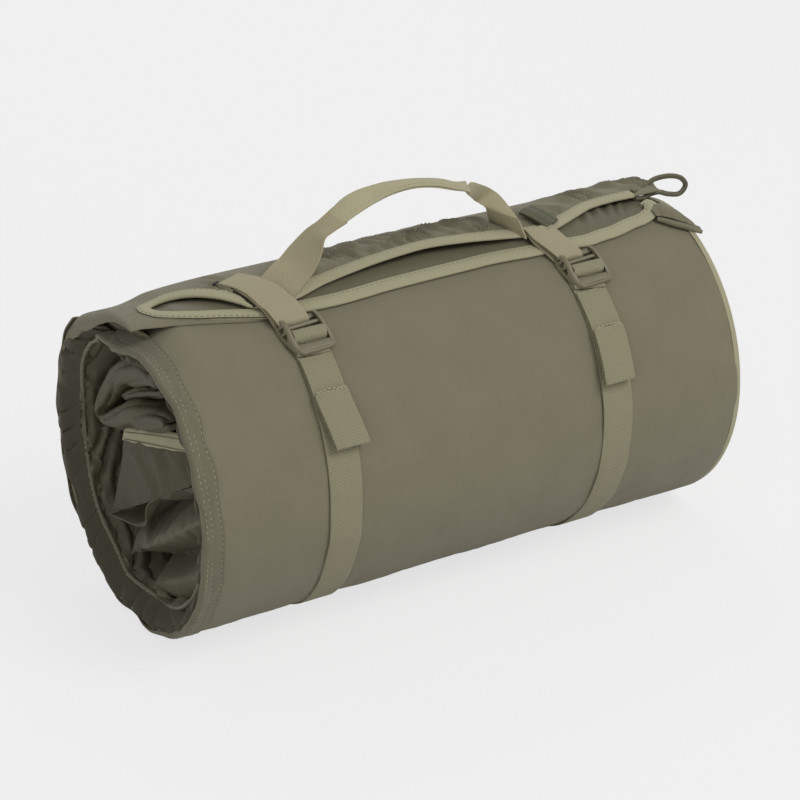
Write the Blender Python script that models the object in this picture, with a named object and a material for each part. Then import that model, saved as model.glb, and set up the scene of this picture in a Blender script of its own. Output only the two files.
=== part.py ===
"""Rolled sleeping mat: a folded padded mat wound up, two buckled straps and a carry handle.

Metres, +Z up. X runs along the roll, from its open folded end at the left to its bound
end at the right, -Y faces the viewer, and the straps' undersides rest on Z = 0.
"""
import math

import bmesh
import bpy
from mathutils import Vector

# Pad: two halves of foam between fabrics, folded along the left end and wound together
FOAM = 0.0064
FABRIC = 0.0006
GAP = 0.0003
PAD = FOAM + 2 * FABRIC + 2 * GAP
HALF_SPACING = 0.0104
WRAP_PITCH = 0.0220

# Roll
ROLL_LENGTH = 0.4490
FRONT_WIND_RADIUS = 0.1100
TURNS = 4.5
FREE_END_DEG = 75.0
STEP_DEG = 12.0
INNER_STEP_DEG = 15.0
PADS_START_DEG = 60.0
HEM_STACK = 0.0030
OUTLINE_RADIUS = 0.1190
OUTLINE_BACK = 0.00175
OUTLINE_TALL = 0.0010
LEFT_RECESS = 0.0450
RECESS_FROM_PSI = 345.0
RECESS_OVER_PSI = 60.0
INNER_HALF_RECESS = 0.0110
INNER_HALF_SHORT = 0.0030

# Core of the roll, pressed flat and pushed up and back by the folded fabric under it
CORE_TO = 0.085
CORE_FLATTEN = 0.94
CORE_LIFT = 0.002
CORE_BACK = 0.002

# Webbing straps
WEB_WIDTH = 0.0254
WEB_THICK = 0.0015
STRAP_X = {"left": -0.1145, "right": 0.1125}
STRAP_SHIFT_DEG = {"left": 0.0, "right": -2.6}
STRAP_ROOT_DEG = 112.0
BUCKLE_DEG = 60.0
TAIL_SEAM_DEG = 39.8
TAIL_END_DEG = 19.5
TAIL_START = 0.0180
TAIL_STAND_OFF = 0.0040
STRAP_TUCK = 0.0010
PULL_LAYERS = 1.9
PULL_SHIFT = 0.0006
TACK_WIDTH = 0.0225
TACK_THICK = 0.0005
TACK_FROM_SEAM = (0.0012, 0.0040)

# Loop that holds a buckle: psi of its lower run behind the upper edge, then the dip under it
LOOP_STEP = WEB_THICK + 1.5 * GAP
LOOP_BEHIND_PSI = (14.0, 8.0, 3.0)
LOOP_DIP = (-2.0, -0.0008)
LOOP_FRONT_PSI = -1.2

# Ladder buckle, along its own length s (rear to front) and height n over the roll
BUCKLE_WIDTH = 0.0364
BUCKLE_SLOT = 0.0266
BUCKLE_BAR = 0.0015
REAR_BAR = (0.0140, 0.0036)
MIDDLE_BAR = (0.0020, 0.0054)
FRONT_BAR = (-0.0145, 0.0048)
ARM_HEIGHT = 0.0048
ARM_CUT = 0.0022
CUT_OUT = 0.0015
CUT_OUTS_AT = (0.0100, 0.0052, 0.0002)

# Edge tapes
TAPE = 0.0006
HEM = 0.0008
TAPE_SLACK = 0.0005
END_TAPE_WIDTH = 0.0095
TAPE_CLEAR = 0.0010
FACING_WIDTH = 0.0150
FACING_THICK = 0.0010
RIGHT_TAPE_LEG = 0.0042

# Handle
HANDLE_ROOT_PSI = 4.5
GRIP_WIDTH = 0.0127
GRIP_THICK = 0.0033

# Elastic loop on the rear right corner
CORD = 0.0040

# Label
LABEL_WIDTH = 0.0150
LABEL_LENGTH = 0.0270
LABEL_THICK = 0.0010
LABEL_PSI = 9.0
LABEL_SHIFT = 0.0020

AXIS_HEIGHT = 0.1180
TOP = AXIS_HEIGHT + OUTLINE_RADIUS
UNDERSIDE = AXIS_HEIGHT - WEB_THICK - GAP
ROLL_LEFT = -ROLL_LENGTH / 2
ROLL_RIGHT = ROLL_LENGTH / 2
FIRST_TURN_END_DEG = 360.0
WIND_END_DEG = FIRST_TURN_END_DEG + INNER_STEP_DEG * round((TURNS - 1) * 360 / INNER_STEP_DEG)

SHELL = ("shell_fabric", (0.195, 0.178, 0.115, 1), 0.85)
LINING = ("lining_fabric", (0.092, 0.082, 0.055, 1), 0.75)
PADDING = ("foam", (0.060, 0.058, 0.050, 1), 0.95)
TAPE_MATERIAL = ("edge_tape", (0.375, 0.352, 0.225, 1), 0.80)
WEBBING = ("webbing", (0.262, 0.235, 0.155, 1), 0.80)
HANDLE_WEB = ("handle_webbing", (0.330, 0.300, 0.180, 1), 0.80)
PLASTIC = ("buckle_plastic", (0.170, 0.150, 0.098, 1), 0.50)
THREAD = ("thread", (0.420, 0.400, 0.270, 1), 0.80)
ELASTIC = ("elastic_cord", (0.120, 0.112, 0.075, 1), 0.80)
LABEL = ("label_fabric", (0.085, 0.088, 0.048, 1), 0.85)


def clamp(value, low=0.0, high=1.0):
    return max(low, min(high, value))


def smooth(t):
    t = clamp(t)
    return t * t * (3 - 2 * t)


def mix(a, b, t):
    return a + (b - a) * t


def curve_through(points, count):
    """Read count points from a smooth curve through the given ones, by Catmull-Rom."""
    points = [Vector(p) for p in points]
    padded = [2 * points[0] - points[1]] + points + [2 * points[-1] - points[-2]]
    spans = len(points) - 1
    out = []
    for k in range(count):
        at = k * spans / (count - 1)
        i = min(int(at), spans - 1)
        t = at - i
        a, b, c, d = padded[i:i + 4]
        out.append(0.5 * (2 * b + (c - a) * t + (2 * a - 5 * b + 4 * c - d) * t * t
                          + (3 * b - a - 3 * c + d) * t ** 3))
    return out


# The winding. psi is the angle wound in from the free end, theta = psi + FREE_END_DEG is
# the angle about the axis from the front (0) over the top (90) to the back (180).

def wound_radius(psi):
    """Outer face of the outer half before the outline is fitted."""
    turn = FRONT_WIND_RADIUS - WRAP_PITCH * psi / 360
    if psi < PADS_START_DEG:
        return turn + mix(HEM_STACK, WRAP_PITCH, smooth(psi / PADS_START_DEG))
    return turn + WRAP_PITCH


def fit_to_outline(theta):
    """Factor that brings the first turn to the roll's outline, flat underneath."""
    psi = (theta - FREE_END_DEG) % 360
    turn = FRONT_WIND_RADIUS - WRAP_PITCH * psi / 360
    plain = turn + WRAP_PITCH * smooth(psi / PADS_START_DEG)
    a = math.radians(theta)
    outline = OUTLINE_RADIUS - OUTLINE_BACK * math.cos(a) - OUTLINE_TALL * math.cos(2 * a)
    factor = outline / plain
    down = -math.sin(a) * wound_radius(psi) * factor
    return factor * UNDERSIDE / down if down > UNDERSIDE else factor


def section(psi, depth):
    """Point (y, z) of the roll's section at a depth under the outer face."""
    theta = FREE_END_DEG + psi
    radius = wound_radius(psi) * fit_to_outline(theta) - depth
    a = math.radians(theta)
    keep = smooth(radius / CORE_TO)
    y = -radius * math.cos(a) + CORE_BACK * (1 - keep)
    z = radius * math.sin(a) * mix(CORE_FLATTEN, 1, keep) + CORE_LIFT * (1 - keep)
    return Vector((y, AXIS_HEIGHT + z))


def lifted(psi, depth, lift):
    """Section point moved out along the winding's normal."""
    ahead = section(psi + 0.5, depth)
    behind = section(psi - 0.5, depth)
    along = (ahead - behind).normalized()
    return section(psi, depth) + Vector((-along.y, along.x)) * lift


def on_pad(psi, inner, side):
    """Point at a height over the middle of a half's pad."""
    return lifted(psi, PAD / 2 + (HALF_SPACING if inner else 0.0), side)


def on_cover(psi, lift):
    """Point on the faceted outer cover of the first turn, raised by lift."""
    first = math.floor(psi / STEP_DEG) * STEP_DEG
    a = on_pad(first, False, PAD / 2 + lift)
    b = on_pad(first + STEP_DEG, False, PAD / 2 + lift)
    return a.lerp(b, (psi - first) / STEP_DEG)


def on_top(psi, lift):
    """Point raised over the layer that lies under the free end, psi from about -60 to 60."""
    theta = FREE_END_DEG + psi
    radius = (FRONT_WIND_RADIUS - WRAP_PITCH * psi / 360) * fit_to_outline(theta) + lift
    a = math.radians(theta)
    return Vector((-radius * math.cos(a), AXIS_HEIGHT + radius * math.sin(a)))


def at_x(x, point):
    return Vector((x, point.x, point.y))


def arc_deg(length):
    """Winding angle that a length takes along the outline."""
    return math.degrees(length / OUTLINE_RADIUS)


def stations(start, end):
    """Angles from start to end through every facet edge between them."""
    edges = []
    psi = 0.0
    while psi < end:
        edges.append(psi)
        psi += STEP_DEG if psi < FIRST_TURN_END_DEG - 1e-6 else INNER_STEP_DEG
    return [start] + [v for v in edges if start + 1e-6 < v < end - 1e-6] + [end]


def finish_mesh(name, bm, look, thickness=0.0):
    bmesh.ops.recalc_face_normals(bm, faces=bm.faces[:])
    mesh = bpy.data.meshes.new(name)
    bm.to_mesh(mesh)
    bm.free()
    mesh.shade_smooth()
    mesh.set_sharp_from_angle(angle=math.radians(40))
    obj = bpy.data.objects.new(name, mesh)
    bpy.context.scene.collection.objects.link(obj)
    if thickness:
        solid = obj.modifiers.new("thickness", "SOLIDIFY")
        solid.thickness = thickness
        solid.offset = 0.0
    set_look(obj, look)
    return obj


def set_look(obj, look):
    name, colour, roughness = look
    material = bpy.data.materials.get(name)
    if material is None:
        material = bpy.data.materials.new(name)
        material.use_nodes = True
        shader = material.node_tree.nodes["Principled BSDF"]
        shader.inputs["Base Color"].default_value = colour
        shader.inputs["Roughness"].default_value = roughness
        shader.inputs["Metallic"].default_value = 0.0
    obj.data.materials.append(material)


def sheet(name, rows, thickness, look):
    """A sheet of even thickness whose middle face runs through rows of points."""
    bm = bmesh.new()
    grid = [[bm.verts.new(p) for p in row] for row in rows]
    for near, far in zip(grid, grid[1:]):
        for i in range(len(near) - 1):
            bm.faces.new((near[i], near[i + 1], far[i + 1], far[i]))
    return finish_mesh(name, bm, look, thickness)


def sweep(name, rings, look):
    """A closed body through rings of as many points each, capped at both ends."""
    bm = bmesh.new()
    loops = [[bm.verts.new(p) for p in ring] for ring in rings]
    count = len(loops[0])
    for near, far in zip(loops, loops[1:]):
        for i in range(count):
            j = (i + 1) % count
            bm.faces.new((near[i], near[j], far[j], far[i]))
    bm.faces.new(loops[0])
    bm.faces.new(list(reversed(loops[-1])))
    return finish_mesh(name, bm, look)


def profile_on_winding(name, profile, inner, start, end, look):
    """Sweep a profile of (x, height over a half's pad) points along the winding."""
    rings = []
    for psi in stations(start, end):
        rings.append([at_x(x, on_pad(psi, inner, side)) for x, side in profile])
    return sweep(name, rings, look)


# Pads

def left_end(psi, inner):
    """Where a half's padding stops at the left: deeper in after the first turn."""
    recess = LEFT_RECESS * smooth((psi - RECESS_FROM_PSI) / RECESS_OVER_PSI)
    return ROLL_LEFT + 2 * GAP + recess + (INNER_HALF_RECESS if inner else FACING_THICK)


def right_end(inner):
    return ROLL_RIGHT - 2 * GAP - TAPE - (INNER_HALF_SHORT if inner else 0.0)


def wound_sheet(name, inner, side, thickness, look):
    """One fabric or foam layer of a half pad. side is its height over the pad's middle."""
    rows = []
    for psi in stations(PADS_START_DEG, WIND_END_DEG):
        point = on_pad(psi, inner, side)
        rows.append((at_x(left_end(psi, inner), point), at_x(right_end(inner), point)))
    return sheet(name, rows, thickness, look)


def make_pads():
    skin = FOAM / 2 + GAP + FABRIC / 2
    wound_sheet("outer_half_shell", False, skin, FABRIC, SHELL)
    wound_sheet("outer_half_foam", False, 0.0, FOAM, PADDING)
    wound_sheet("outer_half_lining", False, -skin, FABRIC, LINING)
    wound_sheet("inner_half_lining", True, skin, FABRIC, LINING)
    wound_sheet("inner_half_foam", True, 0.0, FOAM, PADDING)
    wound_sheet("inner_half_shell", True, -skin, FABRIC, SHELL)


def print_least_gaps():
    """Least distance between the wound layers, measured on their middle faces' points."""
    layers = []
    for inner in (False, True):
        for psi in stations(PADS_START_DEG, WIND_END_DEG):
            layers.append((inner, psi, on_pad(psi, inner, 0.0)))
    least = 1.0
    length = 0.0
    for k, (inner, psi, point) in enumerate(layers):
        for other_inner, other_psi, other in layers[k + 1:]:
            if other_inner != inner or abs(other_psi - psi) > 200:
                least = min(least, (other - point).length)
        if k and layers[k - 1][0] == inner and not inner:
            length += (layers[k - 1][2] - point).length
    print("least gap between wound pads %.2f mm" % ((least - PAD) * 1000))
    print("padded length of the outer half %.0f mm" % (length * 1000))


# Edges of the mat

def make_edges():
    last = FIRST_TURN_END_DEG
    top = PAD / 2 + GAP
    low = -PAD / 2
    outer_end = left_end(0, False) - GAP
    facing = [
        (outer_end - FACING_THICK, top + FACING_THICK),
        (outer_end - FACING_THICK + FACING_WIDTH, top + FACING_THICK),
        (outer_end - FACING_THICK + FACING_WIDTH, top),
        (outer_end, top),
        (outer_end, low),
        (outer_end - FACING_THICK, low),
    ]
    profile_on_winding("left_edge_facing", facing, False, PADS_START_DEG, last, SHELL)
    inner_end = left_end(0, True) - GAP
    piping = [
        (inner_end - 2 * TAPE, -low), (inner_end, -low), (inner_end, low), (inner_end - 2 * TAPE, low),
    ]
    profile_on_winding("inner_half_edge_piping", piping, True, PADS_START_DEG, last, SHELL)
    gusset_low = -HALF_SPACING + PAD / 2 + GAP
    gusset = [
        (outer_end - FACING_THICK, low - GAP),
        (inner_end - 2 * TAPE, gusset_low),
        (inner_end - 2 * TAPE, gusset_low + HEM),
        (outer_end - FACING_THICK + HEM, low - GAP),
    ]
    profile_on_winding("fold_gusset", gusset, False, PADS_START_DEG, last, LINING)
    bound = right_end(False) + GAP
    tape = [
        (bound - RIGHT_TAPE_LEG, top + TAPE),
        (bound + TAPE, top + TAPE),
        (bound + TAPE, low),
        (bound, low),
        (bound, top),
        (bound - RIGHT_TAPE_LEG, top),
    ]
    profile_on_winding("outer_half_right_tape", tape, False, PADS_START_DEG, WIND_END_DEG,
                       TAPE_MATERIAL)
    bound = right_end(True) + GAP
    tape = [(bound, -low), (bound + TAPE, -low), (bound + TAPE, low), (bound, low)]
    profile_on_winding("inner_half_right_tape", tape, True, PADS_START_DEG, WIND_END_DEG,
                       TAPE_MATERIAL)


# Free end. An edge is a list of (x, psi, height over the layer below) from left to right.

INNER_EDGE = [
    (-0.2010, 17.5, 0.0024), (-0.1975, 13.0, 0.0022), (-0.1885, 6.5, 0.0021),
    (-0.1710, 0.9, 0.0021), (-0.1430, -3.6, 0.0021), (-0.1080, -3.0, 0.0021),
    (-0.0750, 2.2, 0.0021), (-0.0385, 2.6, 0.0021), (0.0000, 2.7, 0.0021),
    (0.0400, 2.0, 0.0021), (0.0800, 1.8, 0.0021), (0.1120, -0.8, 0.0021),
    (0.1400, -1.4, 0.0021), (0.1690, 0.0, 0.0021), (0.1960, 2.6, 0.0021),
]
OUTER_EDGE = [
    (-0.1990, 20.5, 0.0068), (-0.1855, 19.9, 0.0085), (-0.1693, 15.8, 0.0095),
    (-0.1548, 8.5, 0.0082), (-0.1380, 1.0, 0.0060), (-0.1040, 0.6, 0.0058),
    (-0.0752, 4.2, 0.0072), (-0.0391, 6.6, 0.0094), (-0.0100, 7.6, 0.0108),
    (0.0129, 7.8, 0.0112), (0.0432, 5.9, 0.0106), (0.0661, 4.4, 0.0092),
    (0.0923, 3.6, 0.0066), (0.1154, 4.3, 0.0060), (0.1400, 8.2, 0.0072),
    (0.1577, 11.3, 0.0082), (0.1783, 11.7, 0.0092), (0.1974, 11.0, 0.0094),
]
FOLD_LIP = [(-0.2190, 11.7, 0.0022), (-0.2115, 10.5, 0.0024), (-0.2055, 16.5, 0.0046)]
REAR_DEG = PADS_START_DEG - 1.5
HEM_ROWS = 4
LIP_PINCH = 0.3
LIP_BESIDE = 0.0060


def dense_edge(edge, count):
    return [tuple(p) for p in curve_through(edge, count)]


def rear_height(inner):
    """Height of a half pad's middle at the rear of its hem, over the layer below."""
    middle = PAD / 2 + (HALF_SPACING if inner else 0.0)
    under = FRONT_WIND_RADIUS - WRAP_PITCH * REAR_DEG / 360
    return (wound_radius(REAR_DEG) - under) * fit_to_outline(FREE_END_DEG + REAR_DEG) - middle


class Hem:
    """The flat end of a half: a surface from its bound edge to where its padding starts."""

    def __init__(self, edge, inner, columns):
        self.edge = dense_edge(edge, columns)
        self.inner = inner
        self.rear = rear_height(inner)
        self.left = left_end(0, inner)
        self.right = right_end(inner)

    def edge_at(self, x):
        for a, b in zip(self.edge, self.edge[1:]):
            if x <= b[0]:
                t = clamp((x - a[0]) / (b[0] - a[0]))
                return mix(a[1], b[1], t), mix(a[2], b[2], t)
        return self.edge[-1][1], self.edge[-1][2]

    def height(self, x, psi):
        edge_psi, edge_height = self.edge_at(x)
        t = clamp((psi - edge_psi) / (REAR_DEG - edge_psi))
        rise = smooth(t) if self.inner else 1 - (1 - t) ** 2
        return mix(edge_height, self.rear, rise)

    def point(self, x, psi):
        return at_x(x, on_top(psi, self.height(x, psi)))

    def rear_x(self, k):
        return mix(self.left, self.right, k / (len(self.edge) - 1))

    def inside(self, k, distance):
        """(x, psi) a distance in from edge point k, square to the edge."""
        before = self.edge[max(k - 1, 0)]
        after = self.edge[min(k + 1, len(self.edge) - 1)]
        run = Vector((after[0] - before[0], math.radians(after[1] - before[1]) * OUTLINE_RADIUS))
        across = Vector((-run.y, run.x)).normalized() * distance
        x, psi, height = self.edge[k]
        return x + across.x, psi + arc_deg(across.y)


def hem_sheet(name, hem, lip, look):
    """The hem as a grid: edge, a row past the tape, then rows back to the padding."""
    columns = []
    for k, (x, psi, height) in enumerate(hem.edge):
        x1, psi1 = hem.inside(k, END_TAPE_WIDTH + TAPE_CLEAR)
        columns.append(column_to_rear(hem, x, psi, height, x1, psi1, hem.rear_x(k)))
    for x, psi, height in reversed(lip):
        psi1 = psi + arc_deg(END_TAPE_WIDTH)
        x_rear = hem.left + LIP_PINCH * (x - lip[0][0])
        columns.insert(0, column_to_rear(hem, x, psi, height, x, psi1, x_rear, height))
    if lip:
        first = len(lip)
        for k in range(len(hem.edge)):
            columns[first + k][-1].x = mix(hem.left + LIP_BESIDE, hem.right, k / (len(hem.edge) - 1))
    sheet(name, columns, HEM, look)


def column_to_rear(hem, x, psi, height, x1, psi1, x_rear, start_height=None):
    column = [at_x(x, on_top(psi, height))]
    if start_height is None:
        column.append(hem.point(x1, psi1))
    for k in range(1, HEM_ROWS + 1):
        t = k / HEM_ROWS
        here = mix(psi1, REAR_DEG, t)
        at = mix(x1, x_rear, t)
        if start_height is None:
            column.append(hem.point(at, here))
        else:
            rise = 1 - (1 - (here - psi) / (REAR_DEG - psi)) ** 2
            column.append(at_x(at, on_top(here, mix(start_height, hem.rear, rise))))
            if k == 1:
                column.insert(1, column[0].lerp(column[1], 0.5))
    return column


def end_tape(name, hem, look):
    """Tape folded over a hem's edge: a U of TAPE round the hem, END_TAPE_WIDTH wide."""
    channel = HEM / 2 + TAPE_SLACK
    outer = channel + TAPE
    profile = [
        (-GAP - TAPE, -outer), (END_TAPE_WIDTH, -outer), (END_TAPE_WIDTH, -channel),
        (-GAP, -channel), (-GAP, channel), (END_TAPE_WIDTH, channel),
        (END_TAPE_WIDTH, outer), (-GAP - TAPE, outer),
    ]
    points = [at_x(x, on_top(psi, height)) for x, psi, height in hem.edge]
    rings = []
    for k, point in enumerate(points):
        along = points[min(k + 1, len(points) - 1)] - points[max(k - 1, 0)]
        inward = (hem.point(*hem.inside(k, END_TAPE_WIDTH + TAPE_CLEAR)) - point).normalized()
        up = along.cross(inward).normalized()
        rings.append([point + inward * u + up * n for u, n in profile])
    return sweep(name, rings, look)


INNER_HEM = Hem(INNER_EDGE, True, 30)
OUTER_HEM = Hem(OUTER_EDGE, False, 34)


def make_free_end():
    hem_sheet("inner_half_end_hem", INNER_HEM, [], LINING)
    hem_sheet("outer_half_end_hem", OUTER_HEM, FOLD_LIP, SHELL)
    end_tape("inner_half_end_tape", INNER_HEM, TAPE_MATERIAL)
    end_tape("outer_half_end_tape", OUTER_HEM, TAPE_MATERIAL)


# Straps and buckles

def web_rows(x, points, width=WEB_WIDTH):
    return [(at_x(x - width / 2, p), at_x(x + width / 2, p)) for p in points]


def buckle_frame(side):
    """Origin on the cover, direction up the roll and direction out of it."""
    theta = BUCKLE_DEG + STRAP_SHIFT_DEG[side]
    psi = theta - FREE_END_DEG + 360
    origin = lifted(psi, 0.0, 0.0)
    a = math.radians(theta)
    rearward = Vector((math.sin(a), math.cos(a)))
    outward = Vector((-math.cos(a), math.sin(a)))
    return origin, rearward, outward


def in_buckle(side, s, n):
    origin, rearward, outward = buckle_frame(side)
    return origin + rearward * s + outward * n


THREADED_ROUTE = [
    (0.0022, 0.00130), (0.0052, 0.00180), (0.0070, 0.0038), (0.0068, 0.0062), (0.0048, 0.0078),
    (0.0020, 0.0082), (-0.0010, 0.0077), (-0.0036, 0.0061), (-0.0064, 0.0042), (-0.0094, 0.0029),
    (-0.0125, 0.0023), (-0.0150, 0.0021), (-0.0172, 0.0021),
]


def make_strap(side):
    x = STRAP_X[side]
    lift = GAP + WEB_THICK / 2
    end = BUCKLE_DEG + STRAP_SHIFT_DEG[side] - FREE_END_DEG + 360 + arc_deg(STRAP_TUCK)
    start = STRAP_ROOT_DEG - FREE_END_DEG
    points = [on_cover(psi, lift) for psi in stations(start, end)]
    sheet(side + "_strap", web_rows(x, points), WEB_THICK, WEBBING)


def make_threaded_web(side):
    points = [in_buckle(side, s, n) for s, n in THREADED_ROUTE]
    sheet(side + "_threaded_web", web_rows(STRAP_X[side], points), WEB_THICK, WEBBING)


def tail_lift(psi, seam, end):
    t = smooth((seam - psi) / (seam - end))
    return 2 * (GAP + WEB_THICK) - WEB_THICK / 2 + TAIL_STAND_OFF * t * t


def make_tail(side):
    x = STRAP_X[side]
    shift = STRAP_SHIFT_DEG[side] - FREE_END_DEG + 360
    start = BUCKLE_DEG + shift - arc_deg(TAIL_START)
    seam = TAIL_SEAM_DEG + shift
    end = TAIL_END_DEG + shift
    count = 5
    upper = [mix(start, seam, k / (count - 1)) for k in range(count)]
    points = [on_cover(psi, tail_lift(psi, seam, end)) for psi in upper]
    sheet(side + "_tail", web_rows(x, points), WEB_THICK, WEBBING)
    count = 8
    first = seam - arc_deg(GAP)
    lower = [mix(first, end, k / (count - 1)) for k in range(count)]
    pull = PULL_LAYERS * WEB_THICK
    extra = (pull - WEB_THICK) / 2
    points = [on_cover(psi, tail_lift(psi, seam, end) + extra) for psi in lower]
    sheet(side + "_tail_pull", web_rows(x + PULL_SHIFT, points), pull, WEBBING)
    top = tail_lift(seam, seam, end) + extra + (pull + TACK_THICK) / 2 + 1.5 * GAP
    points = [on_cover(first - arc_deg(along), top) for along in TACK_FROM_SEAM]
    sheet(side + "_tail_stitching", web_rows(x + PULL_SHIFT, points, TACK_WIDTH), TACK_THICK, THREAD)


def over_tape_height():
    """Height of a web's middle over a hem's middle, where it crosses the hem's tape."""
    return HEM / 2 + TAPE_SLACK + TAPE + 3 * GAP + WEB_THICK / 2


def upper_run_height(side, psi):
    """Height of the loop's upper run over the layer below."""
    return OUTER_HEM.height(STRAP_X[side], psi) + over_tape_height() + LOOP_STEP


def loop_route(side):
    """Folded loop: forward over the end tapes, round the rear bar and back underneath."""
    x = STRAP_X[side]
    outer_psi, outer_height = OUTER_HEM.edge_at(x)
    inner_psi, inner_height = INNER_HEM.edge_at(x)
    over_tape = over_tape_height()
    under = []
    for behind in LOOP_BEHIND_PSI:
        psi = outer_psi + behind
        under.append((psi, OUTER_HEM.height(x, psi) + over_tape))
    dip_psi, dip = LOOP_DIP
    under.append((outer_psi + dip_psi, outer_height + over_tape + dip))
    under.append((inner_psi + LOOP_FRONT_PSI, inner_height + over_tape))
    upper = [(psi, height + LOOP_STEP) for psi, height in under[:4]]
    s0, n0 = REAR_BAR
    bend = BUCKLE_BAR + GAP + WEB_THICK / 2 + 0.0001
    around = []
    for k in range(7):
        a = math.radians(90 + 180 * k / 6)
        around.append(in_buckle(side, s0 + bend * math.cos(a), n0 + bend * math.sin(a)))
    return [on_top(*at) for at in upper] + around + [on_top(*at) for at in reversed(under)]


def make_loop(side):
    points = loop_route(side)
    sheet(side + "_buckle_loop", web_rows(STRAP_X[side], points), WEB_THICK, WEBBING)


def cylinder_x(name, x, length, centre, radius, look, sides=12):
    rings = []
    for at in (x - length / 2, x + length / 2):
        ring = []
        for k in range(sides):
            a = 2 * math.pi * k / sides
            ring.append(at_x(at, centre + Vector((math.cos(a), math.sin(a))) * radius))
        rings.append(ring)
    return sweep(name, rings, look)


def join_by_union(target, part):
    """Boolean union of a helper shape into target; the helper itself isn't kept visible."""
    union = target.modifiers.new("join " + part.name, "BOOLEAN")
    union.operation = "UNION"
    union.solver = "EXACT"
    union.object = part
    hide(part)


def cut_away(target, part):
    cut = target.modifiers.new("cut " + part.name, "BOOLEAN")
    cut.operation = "DIFFERENCE"
    cut.solver = "EXACT"
    cut.object = part
    hide(part)


def hide(obj):
    obj.hide_render = True
    obj.display_type = "WIRE"


def arm_profile():
    """Outline of a side arm in (s, n), round at both ends."""
    points = []
    for centre, start in ((REAR_BAR, -90), (FRONT_BAR, 90)):
        for k in range(7):
            a = math.radians(start + 180 * k / 6)
            points.append((centre[0] + ARM_HEIGHT / 2 * math.cos(a),
                           centre[1] + ARM_HEIGHT / 2 * math.sin(a)))
        if centre is REAR_BAR:
            points.append((MIDDLE_BAR[0], MIDDLE_BAR[1] + ARM_HEIGHT / 2))
    points.append((MIDDLE_BAR[0], MIDDLE_BAR[1] - ARM_HEIGHT / 2))
    return points


def make_buckle(side):
    x = STRAP_X[side]
    arm = (BUCKLE_WIDTH - BUCKLE_SLOT) / 2
    outline = [in_buckle(side, s, n) for s, n in arm_profile()]
    arms = []
    for sign, name in ((-1, "_buckle"), (1, "_second_arm")):
        inner = x + sign * BUCKLE_SLOT / 2
        outer = inner + sign * arm
        rings = [[at_x(at, p) for p in outline] for at in (inner, outer)]
        arms.append(sweep(side + name, rings, PLASTIC))
    frame = arms[0]
    join_by_union(frame, arms[1])
    for label, (s, n) in (("rear", REAR_BAR), ("middle", MIDDLE_BAR), ("front", FRONT_BAR)):
        centre = in_buckle(side, s, n)
        bar = cylinder_x(side + "_" + label + "_bar", x, BUCKLE_SLOT + arm, centre, BUCKLE_BAR,
                         PLASTIC)
        join_by_union(frame, bar)
    middle = mix(REAR_BAR[1], MIDDLE_BAR[1], 0.5)
    for k, s in enumerate(CUT_OUTS_AT):
        corners = [(s - CUT_OUT, middle - CUT_OUT), (s + CUT_OUT, middle - CUT_OUT),
                   (s + CUT_OUT * 0.4, middle + CUT_OUT)]
        rings = []
        for at in (x - BUCKLE_WIDTH / 2 - ARM_CUT, x - BUCKLE_WIDTH / 2 + ARM_CUT):
            rings.append([at_x(at, in_buckle(side, a, b)) for a, b in corners])
        cut_away(frame, sweep(side + "_cutter_%d" % k, rings, PLASTIC))


# Handle: a strip of webbing on stations of (x, y, height over the roll's top), each with the
# direction of its width

LEFT_NECK = [
    ((-0.1050, -0.0220, 0.0145), (0.12, -0.96, -0.22)),
    ((-0.0970, -0.0205, 0.0210), (0.30, -0.90, -0.26)),
    ((-0.0870, -0.0175, 0.0285), (0.42, -0.82, -0.34)),
    ((-0.0770, -0.0155, 0.0350), (0.50, -0.74, -0.44)),
    ((-0.0680, -0.0145, 0.0402), (0.54, -0.66, -0.52)),
]
GRIP = [
    ((-0.0672, -0.0145, 0.0407), (0.54, -0.66, -0.52)),
    ((-0.0560, -0.0140, 0.0480), (0.50, -0.62, -0.60)),
    ((-0.0420, -0.0135, 0.0545), (0.38, -0.72, -0.58)),
    ((-0.0260, -0.0135, 0.0588), (0.20, -0.85, -0.48)),
    ((-0.0080, -0.0140, 0.0602), (0.04, -0.93, -0.36)),
    ((0.0100, -0.0150, 0.0588), (-0.04, -0.95, -0.30)),
    ((0.0280, -0.0165, 0.0545), (-0.06, -0.96, -0.28)),
    ((0.0440, -0.0180, 0.0487), (-0.02, -0.97, -0.24)),
]
RIGHT_NECK = [
    ((0.0448, -0.0181, 0.0484), (-0.02, -0.97, -0.24)),
    ((0.0560, -0.0195, 0.0442), (0.10, -0.97, -0.20)),
    ((0.0670, -0.0210, 0.0375), (0.22, -0.95, -0.20)),
    ((0.0750, -0.0220, 0.0295), (0.26, -0.94, -0.20)),
    ((0.0800, -0.0222, 0.0215), (0.20, -0.96, -0.20)),
    ((0.0850, -0.0224, 0.0150), (0.10, -0.98, -0.20)),
]


LEFT_ROOT = (-0.4, 0.1)
RIGHT_ROOT = -0.3
RIGHT_ROOT_RISE = 0.0006


def handle_roots():
    """Where each neck lies on its strap's loop: centre points and the width's direction."""
    a = math.radians(FREE_END_DEG + HANDLE_ROOT_PSI)
    across = (0.0, -math.sin(a), -math.cos(a))
    on_loop = upper_run_height("left", HANDLE_ROOT_PSI) + WEB_THICK + GAP
    left = []
    for share in LEFT_ROOT:
        at = at_x(STRAP_X["left"] + share * WEB_WIDTH, on_top(HANDLE_ROOT_PSI, on_loop))
        left.append((at, across))
    right_x = STRAP_X["right"] - WEB_WIDTH / 2 - GAP
    level = upper_run_height("right", HANDLE_ROOT_PSI)
    right = [
        (at_x(right_x + RIGHT_ROOT * WEB_WIDTH, on_top(HANDLE_ROOT_PSI, level + RIGHT_ROOT_RISE)), across),
        (at_x(right_x, on_top(HANDLE_ROOT_PSI, level)), across),
    ]
    return left, right


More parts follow.
